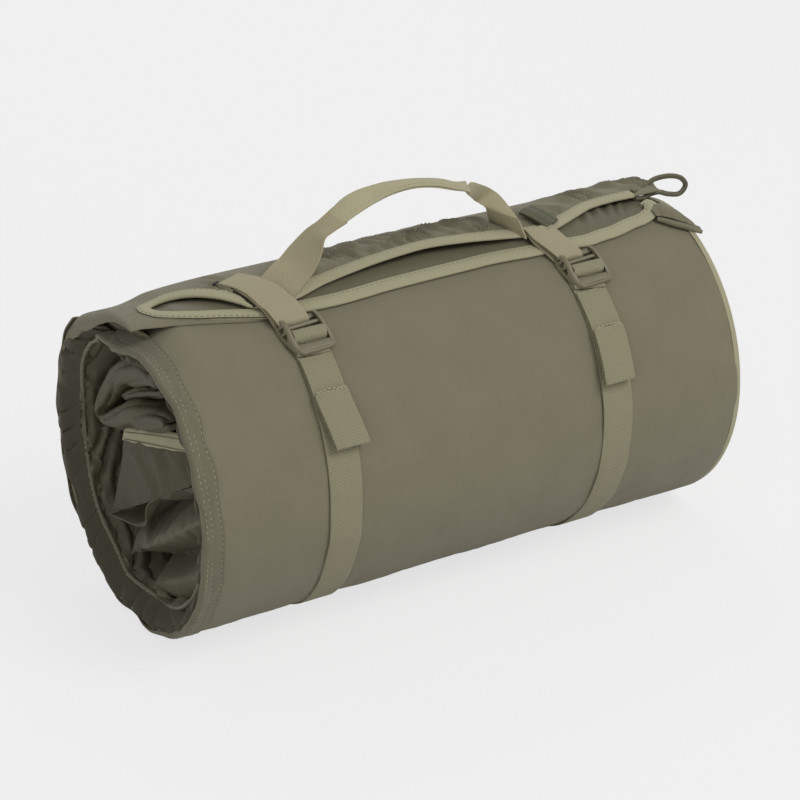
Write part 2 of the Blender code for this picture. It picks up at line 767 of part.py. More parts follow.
def over_top(stations_list):
    """The stations with their heights turned into z."""
    return [((x, y, TOP + height), across) for (x, y, height), across in stations_list]


def strip_rows(stations_list, first, last):
    """Rows across a strip that changes its width from first to last."""
    rows = []
    for k, (centre, across) in enumerate(stations_list):
        width = mix(first, last, smooth(k / (len(stations_list) - 1)))
        half = Vector(across).normalized() * width / 2
        rows.append((Vector(centre) - half, Vector(centre) + half))
    return rows


def make_handle():
    left_root, right_root = handle_roots()
    pivot = left_root[-1][0]
    print("handle axis at y %.4f z %.4f" % (pivot.y, pivot.z))
    left = left_root + over_top(LEFT_NECK)
    right = over_top(RIGHT_NECK) + right_root
    sheet("handle_left_neck", strip_rows(left, WEB_WIDTH, GRIP_WIDTH), WEB_THICK, HANDLE_WEB)
    sheet("handle_grip", strip_rows(over_top(GRIP), GRIP_WIDTH, GRIP_WIDTH), GRIP_THICK, HANDLE_WEB)
    sheet("handle_right_neck", strip_rows(right, GRIP_WIDTH, WEB_WIDTH), WEB_THICK, HANDLE_WEB)


# Label, on the right strap's loop, sewn along its left side

def make_label():
    psi = LABEL_PSI
    level = upper_run_height("right", psi) + WEB_THICK / 2 + GAP + LABEL_THICK
    centre = on_top(psi, level)
    a = math.radians(FREE_END_DEG + psi)
    rearward = Vector((math.sin(a), math.cos(a)))
    left = STRAP_X["right"] - LABEL_WIDTH / 2 - LABEL_SHIFT
    rows = []
    for x in (left, left + LABEL_WIDTH):
        rows.append([at_x(x, centre + rearward * s) for s in (-LABEL_LENGTH / 2, LABEL_LENGTH / 2)])
    sheet("label_tab", rows, LABEL_THICK, LABEL)
    print("label axis at x %.4f y %.4f z %.4f along 0 %.4f %.4f" % (left, *centre, *rearward))


# Elastic loop sewn into the outer half's rear right corner: (x out from the roll's right end, y, z)

ELASTIC_ROUTE = [
    (-0.0256, -0.0035, 0.2458), (-0.0170, -0.0005, 0.2438), (-0.0075, 0.0030, 0.2455),
    (0.0020, 0.0050, 0.2480), (0.0145, 0.0045, 0.2482), (0.0255, 0.0040, 0.2448),
    (0.0310, 0.0040, 0.2378), (0.0255, 0.0040, 0.2318), (0.0145, 0.0035, 0.2338),
    (0.0035, 0.0010, 0.2385), (-0.0075, -0.0025, 0.2402), (-0.0170, -0.0058, 0.2400),
    (-0.0255, -0.0075, 0.2420),
]
ELASTIC_POINTS = 20


def make_elastic():
    curve = bpy.data.curves.new("elastic_loop", "CURVE")
    curve.dimensions = "3D"
    curve.bevel_depth = CORD / 2
    curve.bevel_resolution = 2
    curve.use_fill_caps = True
    spline = curve.splines.new("POLY")
    points = curve_through(ELASTIC_ROUTE, ELASTIC_POINTS)
    spline.points.add(len(points) - 1)
    for place, (x, y, z) in zip(spline.points, points):
        place.co = (ROLL_RIGHT + x, y, z, 1.0)
    obj = bpy.data.objects.new("elastic_loop", curve)
    bpy.context.scene.collection.objects.link(obj)
    set_look(obj, ELASTIC)


# Fabric in the left mouth: lines of (x in from the left end, angle about the axis, distance
# in from the first turn's inner face as a share of OUTLINE_RADIUS)

PANEL_TOP = [(0.0115, 136, 0.575), (0.0145, 67, 0.497), (0.0215, 42, 0.208)]
PANEL_LOW = [(0.0105, 225, 0.112), (0.0125, 283, 0.655), (0.0185, 16, 0.211)]
FOLDS = [
    [(0.0385, 226, 0.129), (0.0440, 261, 0.560), (0.0385, 4, 0.248)],
    [(0.0110, 250, 0.121), (0.0135, 297, 0.410), (0.0185, 356, 0.163)],
    [(0.0395, 259, 0.145), (0.0440, 293, 0.297), (0.0395, 340, 0.119)],
    [(0.0125, 273, 0.072), (0.0155, 300, 0.177), (0.0185, 335, 0.058)],
]
FOLDS_END = [(0.0245, 279), (0.0265, 295), (0.0245, 317)]
ROLLED = [
    (66, 0.050), (106, 0.166), (135, 0.188), (162, 0.189), (170, 0.254), (169, 0.371),
    (141, 0.507),
]
ROLLED_FRONT = 0.0095
POCKET_TAPE_WIDTH = 0.0120
FACET_SAG = 0.0007
END_FOLD_PSI = (24.0, 35.0, 46.0, 57.0)


def in_mouth(x, theta, inset):
    psi = (theta - FREE_END_DEG) % 360
    face = HALF_SPACING + PAD
    radius = wound_radius(psi) * fit_to_outline(theta) - face - inset * OUTLINE_RADIUS
    a = math.radians(theta)
    return Vector((ROLL_LEFT + x, -radius * math.cos(a), AXIS_HEIGHT + radius * math.sin(a)))


def make_mouth():
    top = [in_mouth(*at) for at in PANEL_TOP]
    low = [in_mouth(*at) for at in PANEL_LOW]
    panel = [top]
    for t in (1 / 3, 2 / 3):
        panel.append([a.lerp(b, t) for a, b in zip(top, low)])
    panel.append(low)
    sheet("pocket_panel", panel, HEM, SHELL)
    out = Vector((-HEM / 2 - GAP - TAPE / 2, 0.0, 0.0))
    rows = []
    for a, b in zip(top, low):
        down = (b - a).normalized()
        rows.append((a + out, a + out + down * POCKET_TAPE_WIDTH))
    sheet("pocket_tape", rows, TAPE, TAPE_MATERIAL)
    below = Vector((0.0, 0.0, -HEM / 2 - 2 * GAP))
    folds = [[p + below for p in low]]
    for row in FOLDS:
        folds.append([in_mouth(*at) for at in row])
    folds.append([in_mouth(x, theta, (FACET_SAG + HEM / 2) / OUTLINE_RADIUS) for x, theta in FOLDS_END])
    sheet("gathered_folds", folds, HEM, LINING)
    curl = curve_through([in_mouth(0.0, *at) for at in ROLLED], 22)
    back = left_end(WIND_END_DEG, False) - GAP - ROLL_LEFT
    across = (ROLLED_FRONT, mix(ROLLED_FRONT, back, 0.5), back)
    sheet("rolled_gusset", [[p + Vector((x, 0.0, 0.0)) for x in across] for p in curl], HEM, LINING)
    rows = []
    for psi in END_FOLD_PSI:
        x_top, x_low = ROLL_LEFT + 2 * FACING_THICK, left_end(0, True) - 4 * GAP
        over = lip_height(psi) - HEM - GAP
        rows.append((at_x(x_top, on_top(psi, over)),
                     at_x(x_low, on_top(psi, INNER_HEM.height(x_low, psi)))))
    sheet("end_fold_gusset", rows, HEM, LINING)


def lip_height(psi):
    """Height of the outer half's hem along its left side."""
    x, edge_psi, height = FOLD_LIP[0]
    rise = 1 - (1 - (psi - edge_psi) / (REAR_DEG - edge_psi)) ** 2
    return mix(height, OUTER_HEM.rear, rise)


# Corner flap on the front cover's right end: (x out from the roll's right end, front psi, rear psi)

CORNER_FLAP = [
    (-0.0253, -2.2, 1.4), (-0.0165, -5.0, 6.0), (-0.0075, -8.0, 1.0), (0.0030, -11.0, -9.2),
]
FLAP_THICK = 0.0018
FLAP_LIFT = 0.0026


def make_corner_flap():
    rows = []
    for x, front, rear in CORNER_FLAP:
        rows.append([at_x(ROLL_RIGHT + x, on_top(mix(front, rear, t), FLAP_LIFT)) for t in (0, 0.5, 1)])
    sheet("corner_flap", rows, FLAP_THICK, SHELL)


def remove_everything():
    for obj in list(bpy.data.objects):
        bpy.data.objects.remove(obj, do_unlink=True)


def main():
    remove_everything()
    make_pads()
    print_least_gaps()
    make_edges()
    make_free_end()
    for side in ("left", "right"):
        make_strap(side)
        make_threaded_web(side)
        make_tail(side)
        make_loop(side)
        make_buckle(side)
    make_handle()
    make_label()
    make_elastic()
    make_mouth()
    make_corner_flap()


main()
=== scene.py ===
"""Looks of the rolled sleeping mat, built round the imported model.

Metres, +Z up. X runs along the roll from its open folded end at the left to its bound end at
the right, and -Y faces the viewer. psi is the angle wound in from the mat's free end and
theta = psi + 75 degrees is the angle about the roll's axis, from the front over the top.
"""

import math

import bmesh
import bpy
import numpy as np
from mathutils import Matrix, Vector


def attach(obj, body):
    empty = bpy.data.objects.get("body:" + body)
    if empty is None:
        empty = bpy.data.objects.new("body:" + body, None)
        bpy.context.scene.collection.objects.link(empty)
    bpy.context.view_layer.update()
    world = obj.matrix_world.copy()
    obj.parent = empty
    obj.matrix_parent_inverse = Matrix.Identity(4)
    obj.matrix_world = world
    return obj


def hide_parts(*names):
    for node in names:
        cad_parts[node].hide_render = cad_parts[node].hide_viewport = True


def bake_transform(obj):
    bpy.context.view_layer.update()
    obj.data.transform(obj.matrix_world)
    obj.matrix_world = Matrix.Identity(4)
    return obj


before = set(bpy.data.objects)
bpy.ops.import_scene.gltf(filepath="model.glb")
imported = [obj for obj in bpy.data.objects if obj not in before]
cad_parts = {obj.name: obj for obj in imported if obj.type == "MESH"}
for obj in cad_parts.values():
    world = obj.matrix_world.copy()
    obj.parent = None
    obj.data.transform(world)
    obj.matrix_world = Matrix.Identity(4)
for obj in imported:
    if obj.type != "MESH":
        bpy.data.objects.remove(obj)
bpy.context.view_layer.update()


# Camera, fitted to the photograph's 800 x 800 frame

PHOTO_SIDE = 800
FOCAL_PIXELS = 2563.03
SENSOR_MM = 36.0
CAMERA_TURN_DEG = 30.8687
CAMERA_DOWN_DEG = 26.379
CAMERA_DISTANCE = 1.89933
CAMERA_TARGET = Vector((-0.00238, 0.0, 0.12053))


def make_camera():
    turn, down = math.radians(CAMERA_TURN_DEG), math.radians(CAMERA_DOWN_DEG)
    forward = Vector((math.sin(turn) * math.cos(down), math.cos(turn) * math.cos(down), -math.sin(down)))
    data = bpy.data.cameras.new("camera")
    data.sensor_width = SENSOR_MM
    data.lens = FOCAL_PIXELS / PHOTO_SIDE * SENSOR_MM
    camera = bpy.data.objects.new("camera", data)
    bpy.context.scene.collection.objects.link(camera)
    camera.location = CAMERA_TARGET - forward * CAMERA_DISTANCE
    camera.rotation_euler = forward.to_track_quat("-Z", "Y").to_euler()
    bpy.context.scene.camera = camera


# Numbers and lines


def smooth(t):
    t = np.clip(t, 0.0, 1.0)
    return t * t * (3 - 2 * t)


def mix(a, b, t):
    return a + (b - a) * t


def bump(t, width):
    """1 at t = 0, falling smoothly to 0 at a distance of width."""
    return 1 - smooth(np.abs(t) / width)


def unit(v):
    return v / np.maximum(np.linalg.norm(v, axis=-1, keepdims=True), 1e-12)


def rounded(value, power):
    """The value to a power, with its sign kept, which squares or sharpens a round section."""
    return np.sign(value) * np.abs(value) ** power


def round_angles(sides):
    return np.arange(sides) * 2 * math.pi / sides


def curve_through(points, count):
    """count points along a smooth curve through the given ones, by Catmull-Rom."""
    p = np.array(points, float)
    p = np.vstack([2 * p[0] - p[1], p, 2 * p[-1] - p[-2]])
    at = np.linspace(0, len(p) - 3, count)
    i = np.minimum(at.astype(int), len(p) - 4)
    t = (at - i)[:, None]
    a, b, c, d = p[i], p[i + 1], p[i + 2], p[i + 3]
    square, cube = 2 * a - 5 * b + 4 * c - d, 3 * b - a - 3 * c + d
    return 0.5 * (2 * b + (c - a) * t + square * t * t + cube * t ** 3)


def run_length(points):
    """Length along a polyline up to each of its points."""
    return np.concatenate([[0], np.cumsum(np.linalg.norm(np.diff(points, axis=0), axis=-1))])


def read_along(at, run, rows):
    """Rows of numbers, read at places along a line whose running length is given."""
    return np.stack([np.interp(at, run, column) for column in np.asarray(rows).T], -1)


def evenly(points, step):
    """Points a step apart along a polyline."""
    p = np.array(points, float)
    run = run_length(p)
    count = max(2, int(round(run[-1] / step)) + 1)
    return read_along(np.linspace(0, run[-1], count), run, p)


def eased(rows, reach):
    """Rows of vectors, each averaged with its neighbours up to a number of rows away."""
    kernel = np.hanning(2 * reach + 3)[1:-1]
    padded = np.pad(rows, ((reach, reach), (0, 0)), "edge")
    return np.stack([np.convolve(c, kernel / kernel.sum(), "valid") for c in padded.T], -1)


def waves(seed, shortest, longest, count=14):
    """A smooth random field of unit strength on the plane, as a sum of plane waves."""
    rng = np.random.RandomState(seed)
    length = np.exp(rng.uniform(math.log(shortest), math.log(longest), count))
    angle = rng.uniform(0, math.pi, count)
    phase = rng.uniform(0, 2 * math.pi, count)
    kx, ky = 2 * math.pi * np.cos(angle) / length, 2 * math.pi * np.sin(angle) / length

    def field(x, y):
        total = 0.0
        for a, b, c in zip(kx, ky, phase):
            total = total + np.sin(a * x + b * y + c)
        return total / math.sqrt(count / 2)

    return field


def square_to(tangent, across):
    """The directions across, turned square to the tangents."""
    return unit(across - (across * tangent).sum(-1, keepdims=True) * tangent)


# The winding

FOAM = 0.0064
FABRIC = 0.0006
GAP = 0.0003
PAD = FOAM + 2 * FABRIC + 2 * GAP
HALF_SPACING = 0.0104
WRAP_PITCH = 0.0220
ROLL_LEFT, ROLL_RIGHT = -0.2245, 0.2245
FRONT_WIND_RADIUS = 0.1100
FREE_END_DEG = 75.0
PADS_START_DEG = 60.0
WIND_END_DEG = 1620.0
HEM_STACK = 0.0030
OUTLINE_RADIUS = 0.1190
OUTLINE_BACK = 0.00175
OUTLINE_TALL = 0.0010
AXIS_HEIGHT = 0.1180
WEB_THICK = 0.0015
WEB_WIDTH = 0.0254
UNDERSIDE = AXIS_HEIGHT - WEB_THICK - GAP
CORE_TO = 0.085
CORE_FLATTEN = 0.94
CORE_LIFT = 0.002
CORE_BACK = 0.002
LEFT_RECESS = 0.0450
INNER_HALF_RECESS = 0.0110
STRAP_X = {"left": -0.1145, "right": 0.1125}
SAG = ((334, 342, 348, 357, 367, 377, 387, 395, 401, 440),
       (0.0, 0.0045, 0.0065, 0.0110, 0.0165, 0.0185, 0.0155, 0.0090, 0.0015, 0.0))


def wound_radius(psi):
    psi = np.asarray(psi, float)
    turn = FRONT_WIND_RADIUS - WRAP_PITCH * psi / 360
    start = mix(HEM_STACK, WRAP_PITCH, smooth(psi / PADS_START_DEG))
    return turn + np.where(psi < PADS_START_DEG, start, WRAP_PITCH)


def fit_to_outline(theta):
    psi = (np.asarray(theta, float) - FREE_END_DEG) % 360
    turn = FRONT_WIND_RADIUS - WRAP_PITCH * psi / 360
    plain = turn + WRAP_PITCH * smooth(psi / PADS_START_DEG)
    a = np.radians(theta)
    outline = OUTLINE_RADIUS - OUTLINE_BACK * np.cos(a) - OUTLINE_TALL * np.cos(2 * a)
    factor = outline / plain
    down = -np.sin(a) * wound_radius(psi) * factor
    return np.where(down > UNDERSIDE, factor * UNDERSIDE / np.maximum(down, 1e-9), factor)


def section(psi, depth):
    """(y, z) of the roll's section at a depth under the outer half's outer face."""
    theta = FREE_END_DEG + np.asarray(psi, float)
    radius = wound_radius(psi) * fit_to_outline(theta) - depth
    a = np.radians(theta)
    keep = smooth(radius / CORE_TO)
    y = -radius * np.cos(a) + CORE_BACK * (1 - keep)
    z = radius * np.sin(a) * mix(CORE_FLATTEN, 1, keep) + CORE_LIFT * (1 - keep)
    return np.stack([y, AXIS_HEIGHT + z], -1)


def sag(x, psi):
    """How far the open left end droops in: under the free end, and a little at the floor."""
    near = 1 - smooth((x - ROLL_LEFT) / 0.034)
    return (np.interp(psi, *SAG) + 0.0036 * bump(psi - 205, 40)) * near


def at_depth(x, psi, depth):
    """Point (x, y, z) at a depth under the wound mat's outer face."""
    x, psi, depth = np.broadcast_arrays(x, psi, depth)
    along = unit(section(psi + 1.5, PAD / 2) - section(psi - 1.5, PAD / 2))
    out = np.stack([-along[..., 1], along[..., 0]], -1)
    yz = section(psi, PAD / 2) + out * (PAD / 2 - depth - sag(x, psi))[..., None]
    return np.concatenate([x[..., None], yz], -1)


def on_top(x, psi, lift):
    """Point raised over the layer that lies under the mat's free end."""
    x, psi, lift = np.broadcast_arrays(np.asarray(x, float), np.asarray(psi, float), np.asarray(lift, float))
    theta = FREE_END_DEG + psi
    radius = (FRONT_WIND_RADIUS - WRAP_PITCH * psi / 360) * fit_to_outline(theta) + lift
    a = np.radians(theta)
    return np.stack([x, -radius * np.cos(a), AXIS_HEIGHT + radius * np.sin(a)], -1)


def arc_deg(length):
    return math.degrees(length / OUTLINE_RADIUS)


def psi_at(y, height):
    """psi of a point at y, seen from the roll's axis, that lies a height over the axis."""
    return np.degrees(np.arctan2(height, -y)) - FREE_END_DEG


# Meshes

SHARP_DEG = 50


def placed(name, mesh, look, body):
    """The mesh as an object of the scene, with its material and body."""
    material, slot = look
    mesh.materials.clear()
    mesh.materials.append(material)
    obj = bpy.data.objects.new(name, mesh)
    bpy.context.scene.collection.objects.link(obj)
    if body:
        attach(obj, body)
    return obj


def mesh_object(name, vertices, faces, look, body, uv):
    mesh = bpy.data.meshes.new(name)
    mesh.from_pydata(np.asarray(vertices).tolist(), [], [list(f) for f in faces])
    layer = mesh.uv_layers.new(name="cloth")
    loops = np.zeros(len(mesh.loops), np.int32)
    mesh.loops.foreach_get("vertex_index", loops)
    layer.uv.foreach_set("vector", np.asarray(uv, np.float32)[loops].ravel())
    mesh.validate()
    mesh.shade_smooth()
    mesh.set_sharp_from_angle(angle=math.radians(SHARP_DEG))
    return placed(name, mesh, look, body)


def quad_volume(v, f):
    a, b, c, d = v[f[:, 0]], v[f[:, 1]], v[f[:, 2]], v[f[:, 3]]
    return float((a * np.cross(b, c)).sum() + (a * np.cross(c, d)).sum())


def grid_faces(rows, cols, first=0):
    i, j = np.meshgrid(np.arange(rows - 1), np.arange(cols - 1), indexing="ij")
    a = first + i * cols + j
    return np.stack([a, a + 1, a + cols + 1, a + cols], -1).reshape(-1, 4)


def rim_faces(rows, cols):
    """Faces that close the four sides between a grid and its copy rows * cols further on."""
    top = np.arange(rows * cols).reshape(rows, cols)
    ring = np.concatenate([top[0, :-1], top[:-1, -1], top[-1, :0:-1], top[:0:-1, 0]])
    following = np.roll(ring, -1)
    low = rows * cols
    return np.stack([following, ring, ring + low, following + low], -1)


def grid_normals(p):
    """Unit normals of a grid of points, along rows x columns."""
    return unit(np.cross(np.gradient(p, axis=1), np.gradient(p, axis=0)))


def row_lengths(p):
    """Length along each row of a grid of points up to each of its points."""
    steps = np.linalg.norm(np.diff(p, axis=1), axis=-1)
    return np.concatenate([np.zeros((len(p), 1)), np.cumsum(steps, axis=1)], 1)


def flat_uv(u, v):
    """The cloth's own coordinates on a grid, from lengths along its rows and down its columns."""
    return np.stack(np.broadcast_arrays(u, v[:, None]), -1).reshape(-1, 2)


def grid_uv(p):
    """Lengths in metres along the columns and rows of a grid of points."""
    down = np.linalg.norm(np.diff(p, axis=0), axis=-1)
    return flat_uv(row_lengths(p), np.concatenate([[0], np.cumsum(np.median(down, axis=1))]))


def open_grid(p):
    rows, cols = p.shape[:2]
    return p.reshape(-1, 3), grid_faces(rows, cols), grid_uv(p)


def cloth(name, points, thickness, look, body="mat"):
    """A closed sheet of cloth whose middle face runs through a grid of points."""
    p = np.asarray(points, float)
    rows, cols = p.shape[:2]
    n = grid_normals(p) * thickness / 2
    vertices = np.concatenate([(p + n).reshape(-1, 3), (p - n).reshape(-1, 3)])
    top = grid_faces(rows, cols)
    low = grid_faces(rows, cols, rows * cols)[:, ::-1]
    faces = np.concatenate([top, low, rim_faces(rows, cols)])
    if quad_volume(vertices, faces) < 0:
        faces = faces[:, ::-1]
    return mesh_object(name, vertices, faces, look, body, np.tile(grid_uv(p), (2, 1)))


def tube(name, rings, look, body="mat", uv=None):
    """A closed body through rings (count, sides, 3) of points, with its ends capped."""
    r = np.asarray(rings, float)
    count, sides = r.shape[:2]
    base = np.arange(count * sides).reshape(count, sides)
    following = np.roll(base, -1, axis=1)
    quads = np.stack([base[:-1], following[:-1], following[1:], base[1:]], -1).reshape(-1, 4)
    faces = [tuple(f) for f in quads.tolist()]
    faces.append(tuple(reversed(base[0].tolist())))
    faces.append(tuple(base[-1].tolist()))
    vertices = r.reshape(-1, 3)
    if quad_volume(vertices, quads) < 0:
        faces = [tuple(reversed(f)) for f in faces]
    if uv is None:
        uv = flat_uv(row_lengths(r), run_length(r.mean(axis=1)))
    return mesh_object(name, vertices, faces, look, body, uv)


def round_rings(path, radius, sides):
    """Rings of points round a path, without twist."""
    p = np.asarray(path, float)
    t = unit(np.gradient(p, axis=0))
    normal = unit(np.cross(t[0], (0.0, 0.0, 1.0)))
    r = np.broadcast_to(np.asarray(radius, float), (len(p),))
    a = round_angles(sides)[:, None]
    rings = []
    for k in range(len(p)):
        normal = unit(normal - np.dot(normal, t[k]) * t[k])
        other = np.cross(t[k], normal)
        rings.append(p[k] + (np.cos(a) * normal + np.sin(a) * other) * r[k])
    return np.array(rings)


def ribbon_profile(width, thickness):
    """Cross-section of webbing as (across, up) points, with rounded selvedges."""
    w, t = width / 2, thickness / 2
    top = [(-w, 0.0), (-w + 0.3 * t, 0.75 * t), (-w + 1.1 * t, t), (-w / 3, t), (w / 3, t), (w - 1.1 * t, t),
           (w - 0.3 * t, 0.75 * t), (w, 0.0)]
    return top + [(a, -b) for a, b in reversed(top[1:-1])]


def ribbon(name, centres, across, width, thickness, look, body="mat"):
    """Webbing along centre points, each with the direction of its width."""
    c = np.asarray(centres, float)
    tangent = unit(np.gradient(c, axis=0))
    side = square_to(tangent, np.broadcast_to(np.asarray(across, float), c.shape))
    up = np.cross(side, tangent)
    profile = np.array(ribbon_profile(1.0, thickness))
    flat = np.array(ribbon_profile(1.0, 0.0))[:, 0]
    u = flat[None] * np.broadcast_to(np.asarray(width, float), (len(c),))[:, None]
    offset = side[:, None] * (u + (profile[:, 0] - flat)[None])[..., None]
    offset = offset + up[:, None] * profile[None, :, 1, None]
    return tube(name, c[:, None] + offset, look, body, flat_uv(u, run_length(c)))


def join(name, parts, look, body):
    """One object from several, which are made without a body or a slot of their own."""
    bm = bmesh.new()
    for part in parts:
        bm.from_mesh(part.data)
        bpy.data.objects.remove(part, do_unlink=True)
    mesh = bpy.data.meshes.new(name)
    bm.to_mesh(mesh)
    bm.free()
    return placed(name, mesh, look, body)


def cut(obj, cutter):
    """Take the cutter out of the object, for good."""
    modifier = obj.modifiers.new("cut", "BOOLEAN")
    modifier.operation = "DIFFERENCE"
    modifier.solver = "EXACT"
    modifier.object = cutter
    depsgraph = bpy.context.evaluated_depsgraph_get()
    mesh = bpy.data.meshes.new_from_object(obj.evaluated_get(depsgraph))
    mesh.shade_smooth()
    mesh.set_sharp_from_angle(angle=math.radians(38))
    obj.modifiers.clear()
    obj.data = mesh
    bpy.data.objects.remove(cutter, do_unlink=True)


def thicken(obj, thickness):
    solid = obj.modifiers.new("thickness", "SOLIDIFY")
    solid.thickness = thickness
    solid.offset = -1.0


# Stitches, each size as (length, gap, radius)

STITCH_SIDES = 5
STITCH_RINGS = ((-0.5, 0.25), (-0.32, 0.9), (0.0, 1.0), (0.32, 0.9), (0.5, 0.25))
EDGE_STITCH = (0.0020, 0.0024, 0.00028)
BINDING_STITCH = (0.0024, 0.0016, 0.00026)
POCKET_STITCH = (0.0013, 0.0015, 0.00050)
BUNDLE_STITCH = (0.0020, 0.0022, 0.0003)
GRIP_STITCH = (0.0026, 0.0016, 0.00026)
LABEL_STITCH = (0.0014, 0.0012, 0.0002)
TACK_STITCH = (0.0024, 0.0004, 0.00045)


def stitches(name, path, up, look, size, body="mat", lift=0.0):
    """A row of separate thread stitches along a path, lying on a surface with the given normals."""
    length, gap, radius = size
    p = np.asarray(path, float)
    u = np.broadcast_to(np.asarray(up, float), p.shape)
    p = p + u * lift
    run = run_length(p)
    count = max(3, int(round(2 * run[-1] / (length + gap))) + 1)
    both = read_along(np.linspace(0, run[-1], count), run, np.concatenate([p, u], 1))
    centres, normals = both[1::2, :3], unit(both[1::2, 3:])
    tangents = unit(np.gradient(both[:, :3], axis=0))[1::2]
    side = unit(np.cross(tangents, normals))
    vertices, faces, uvs = [], [], []
    for c, t, n, s in zip(centres, tangents, normals, side):
        first = len(vertices)
        for along, swell in STITCH_RINGS:
            for a in round_angles(STITCH_SIDES):
                vertices.append(c + t * along * length + (s * math.cos(a) + n * math.sin(a)) * radius * swell)
                uvs.append((along * length, a))
        for k in range(len(STITCH_RINGS) - 1):
            for j in range(STITCH_SIDES):
                a, b = first + k * STITCH_SIDES + j, first + k * STITCH_SIDES + (j + 1) % STITCH_SIDES
                faces.append((a, a + STITCH_SIDES, b + STITCH_SIDES, b))
        faces.append(tuple(first + j for j in range(STITCH_SIDES)))
        last = first + (len(STITCH_RINGS) - 1) * STITCH_SIDES
        faces.append(tuple(last + j for j in reversed(range(STITCH_SIDES))))
    return mesh_object(name, vertices, faces, look, body, uvs)


# Crumpled cloth

CRUMPLE_FRAMES = 16
CRUMPLE_CLOTH = {"quality": 6, "mass": 0.15, "tension_stiffness": 25, "compression_stiffness": 25,
                 "shear_stiffness": 8}


def pinned(shape, rows=(), columns=()):
    """Pin weights of a grid of points: 1 on the rows and columns that are held."""
    weights = np.zeros(shape)
    weights[list(rows)] = 1
    weights[:, list(columns)] = 1
    return weights


def crumple(points, pins, growth, cap, bending):
    """The grid of points after the cloth has buckled, each point moved by less than cap."""
    p = np.asarray(points, float)
    rows, cols = p.shape[:2]
    mesh = bpy.data.meshes.new("crumple")
    mesh.from_pydata(p.reshape(-1, 3).tolist(), [], grid_faces(rows, cols).tolist())
    obj = bpy.data.objects.new("crumple", mesh)
    scene = bpy.context.scene
    scene.collection.objects.link(obj)
    group = obj.vertex_groups.new(name="pinned")
    for k, weight in enumerate(pins.ravel().tolist()):
        if weight > 0:
            group.add([k], weight, "REPLACE")
    modifier = obj.modifiers.new("crumple", "CLOTH")
    settings = modifier.settings
    for key, value in CRUMPLE_CLOTH.items():
        setattr(settings, key, value)
    settings.bending_stiffness = bending
    settings.effector_weights.gravity = 0
    settings.shrink_min = -growth
    settings.shrink_max = -growth
    settings.vertex_group_mass = "pinned"
    modifier.collision_settings.use_collision = False
    modifier.point_cache.frame_start = 1
    modifier.point_cache.frame_end = CRUMPLE_FRAMES
    for number in range(1, CRUMPLE_FRAMES + 1):
        scene.frame_set(number)
    result = obj.evaluated_get(bpy.context.evaluated_depsgraph_get()).to_mesh()
    moved = np.zeros(rows * cols * 3)
    result.vertices.foreach_get("co", moved)
    scene.frame_set(1)
    bpy.data.objects.remove(obj, do_unlink=True)
    shift = moved.reshape(p.shape) - p
    size = np.linalg.norm(shift, axis=-1, keepdims=True)
    return p + shift * (cap * np.tanh(size / cap) / np.maximum(size, 1e-9))


# Materials


def linear(red, green, blue):
    """A colour given as the eye sees it, 0 to 255, as the shader wants it."""
    out = []
    for c in (red, green, blue):
        c /= 255
        out.append(c / 12.92 if c <= 0.04045 else ((c + 0.055) / 1.055) ** 2.4)
    return (*out, 1.0)


def scaled(colour, factor):
    return (*[min(1.0, c * factor) for c in colour[:3]], 1.0)


class Shading:
    """A material's node tree with short ways to add nodes."""

    def __init__(self, name, roughness):
        self.material = bpy.data.materials.new(name)
        self.material.use_nodes = True
        self.tree = self.material.node_tree
        self.shader = self.tree.nodes["Principled BSDF"]
        self.shader.inputs["Roughness"].default_value = roughness

    def node(self, kind, **settings):
        node = self.tree.nodes.new(kind)
        for key, value in settings.items():
            setattr(node, key, value)
        return node

    def link(self, source, target):
        self.tree.links.new(source, target)

    def math(self, operation, a, b=None, c=None):
        node = self.node("ShaderNodeMath", operation=operation)
        for socket, value in zip(node.inputs, (a, b, c)):
            if value is None:
                continue
            if isinstance(value, (int, float)):
                socket.default_value = value
            else:
                self.link(value, socket)
        return node.outputs[0]

    def cloth_uv(self):
        uv = self.node("ShaderNodeUVMap", uv_map="cloth")
        split = self.node("ShaderNodeSeparateXYZ")
        self.link(uv.outputs[0], split.inputs[0])
        return split.outputs[0], split.outputs[1]

    def noise(self, scale, detail=2.0, roughness=0.5):
        place = self.node("ShaderNodeTexCoord")
        noise = self.node("ShaderNodeTexNoise")
        noise.inputs["Scale"].default_value = scale
        noise.inputs["Detail"].default_value = detail
        noise.inputs["Roughness"].default_value = roughness
        self.link(place.outputs["Object"], noise.inputs["Vector"])
        return noise.outputs["Fac"]

    def colour(self, dark, light, factor):
        node = self.node("ShaderNodeMix", data_type="RGBA")
        node.inputs[6].default_value = dark
        node.inputs[7].default_value = light
        self.link(factor, node.inputs[0])
        self.link(node.outputs[2], self.shader.inputs["Base Color"])

    def relief(self, height, distance, strength=1.0):
        node = self.node("ShaderNodeBump")
        node.inputs["Strength"].default_value = strength
        node.inputs["Distance"].default_value = distance
        self.link(height, node.inputs["Height"])
        self.link(node.outputs[0], self.shader.inputs["Normal"])


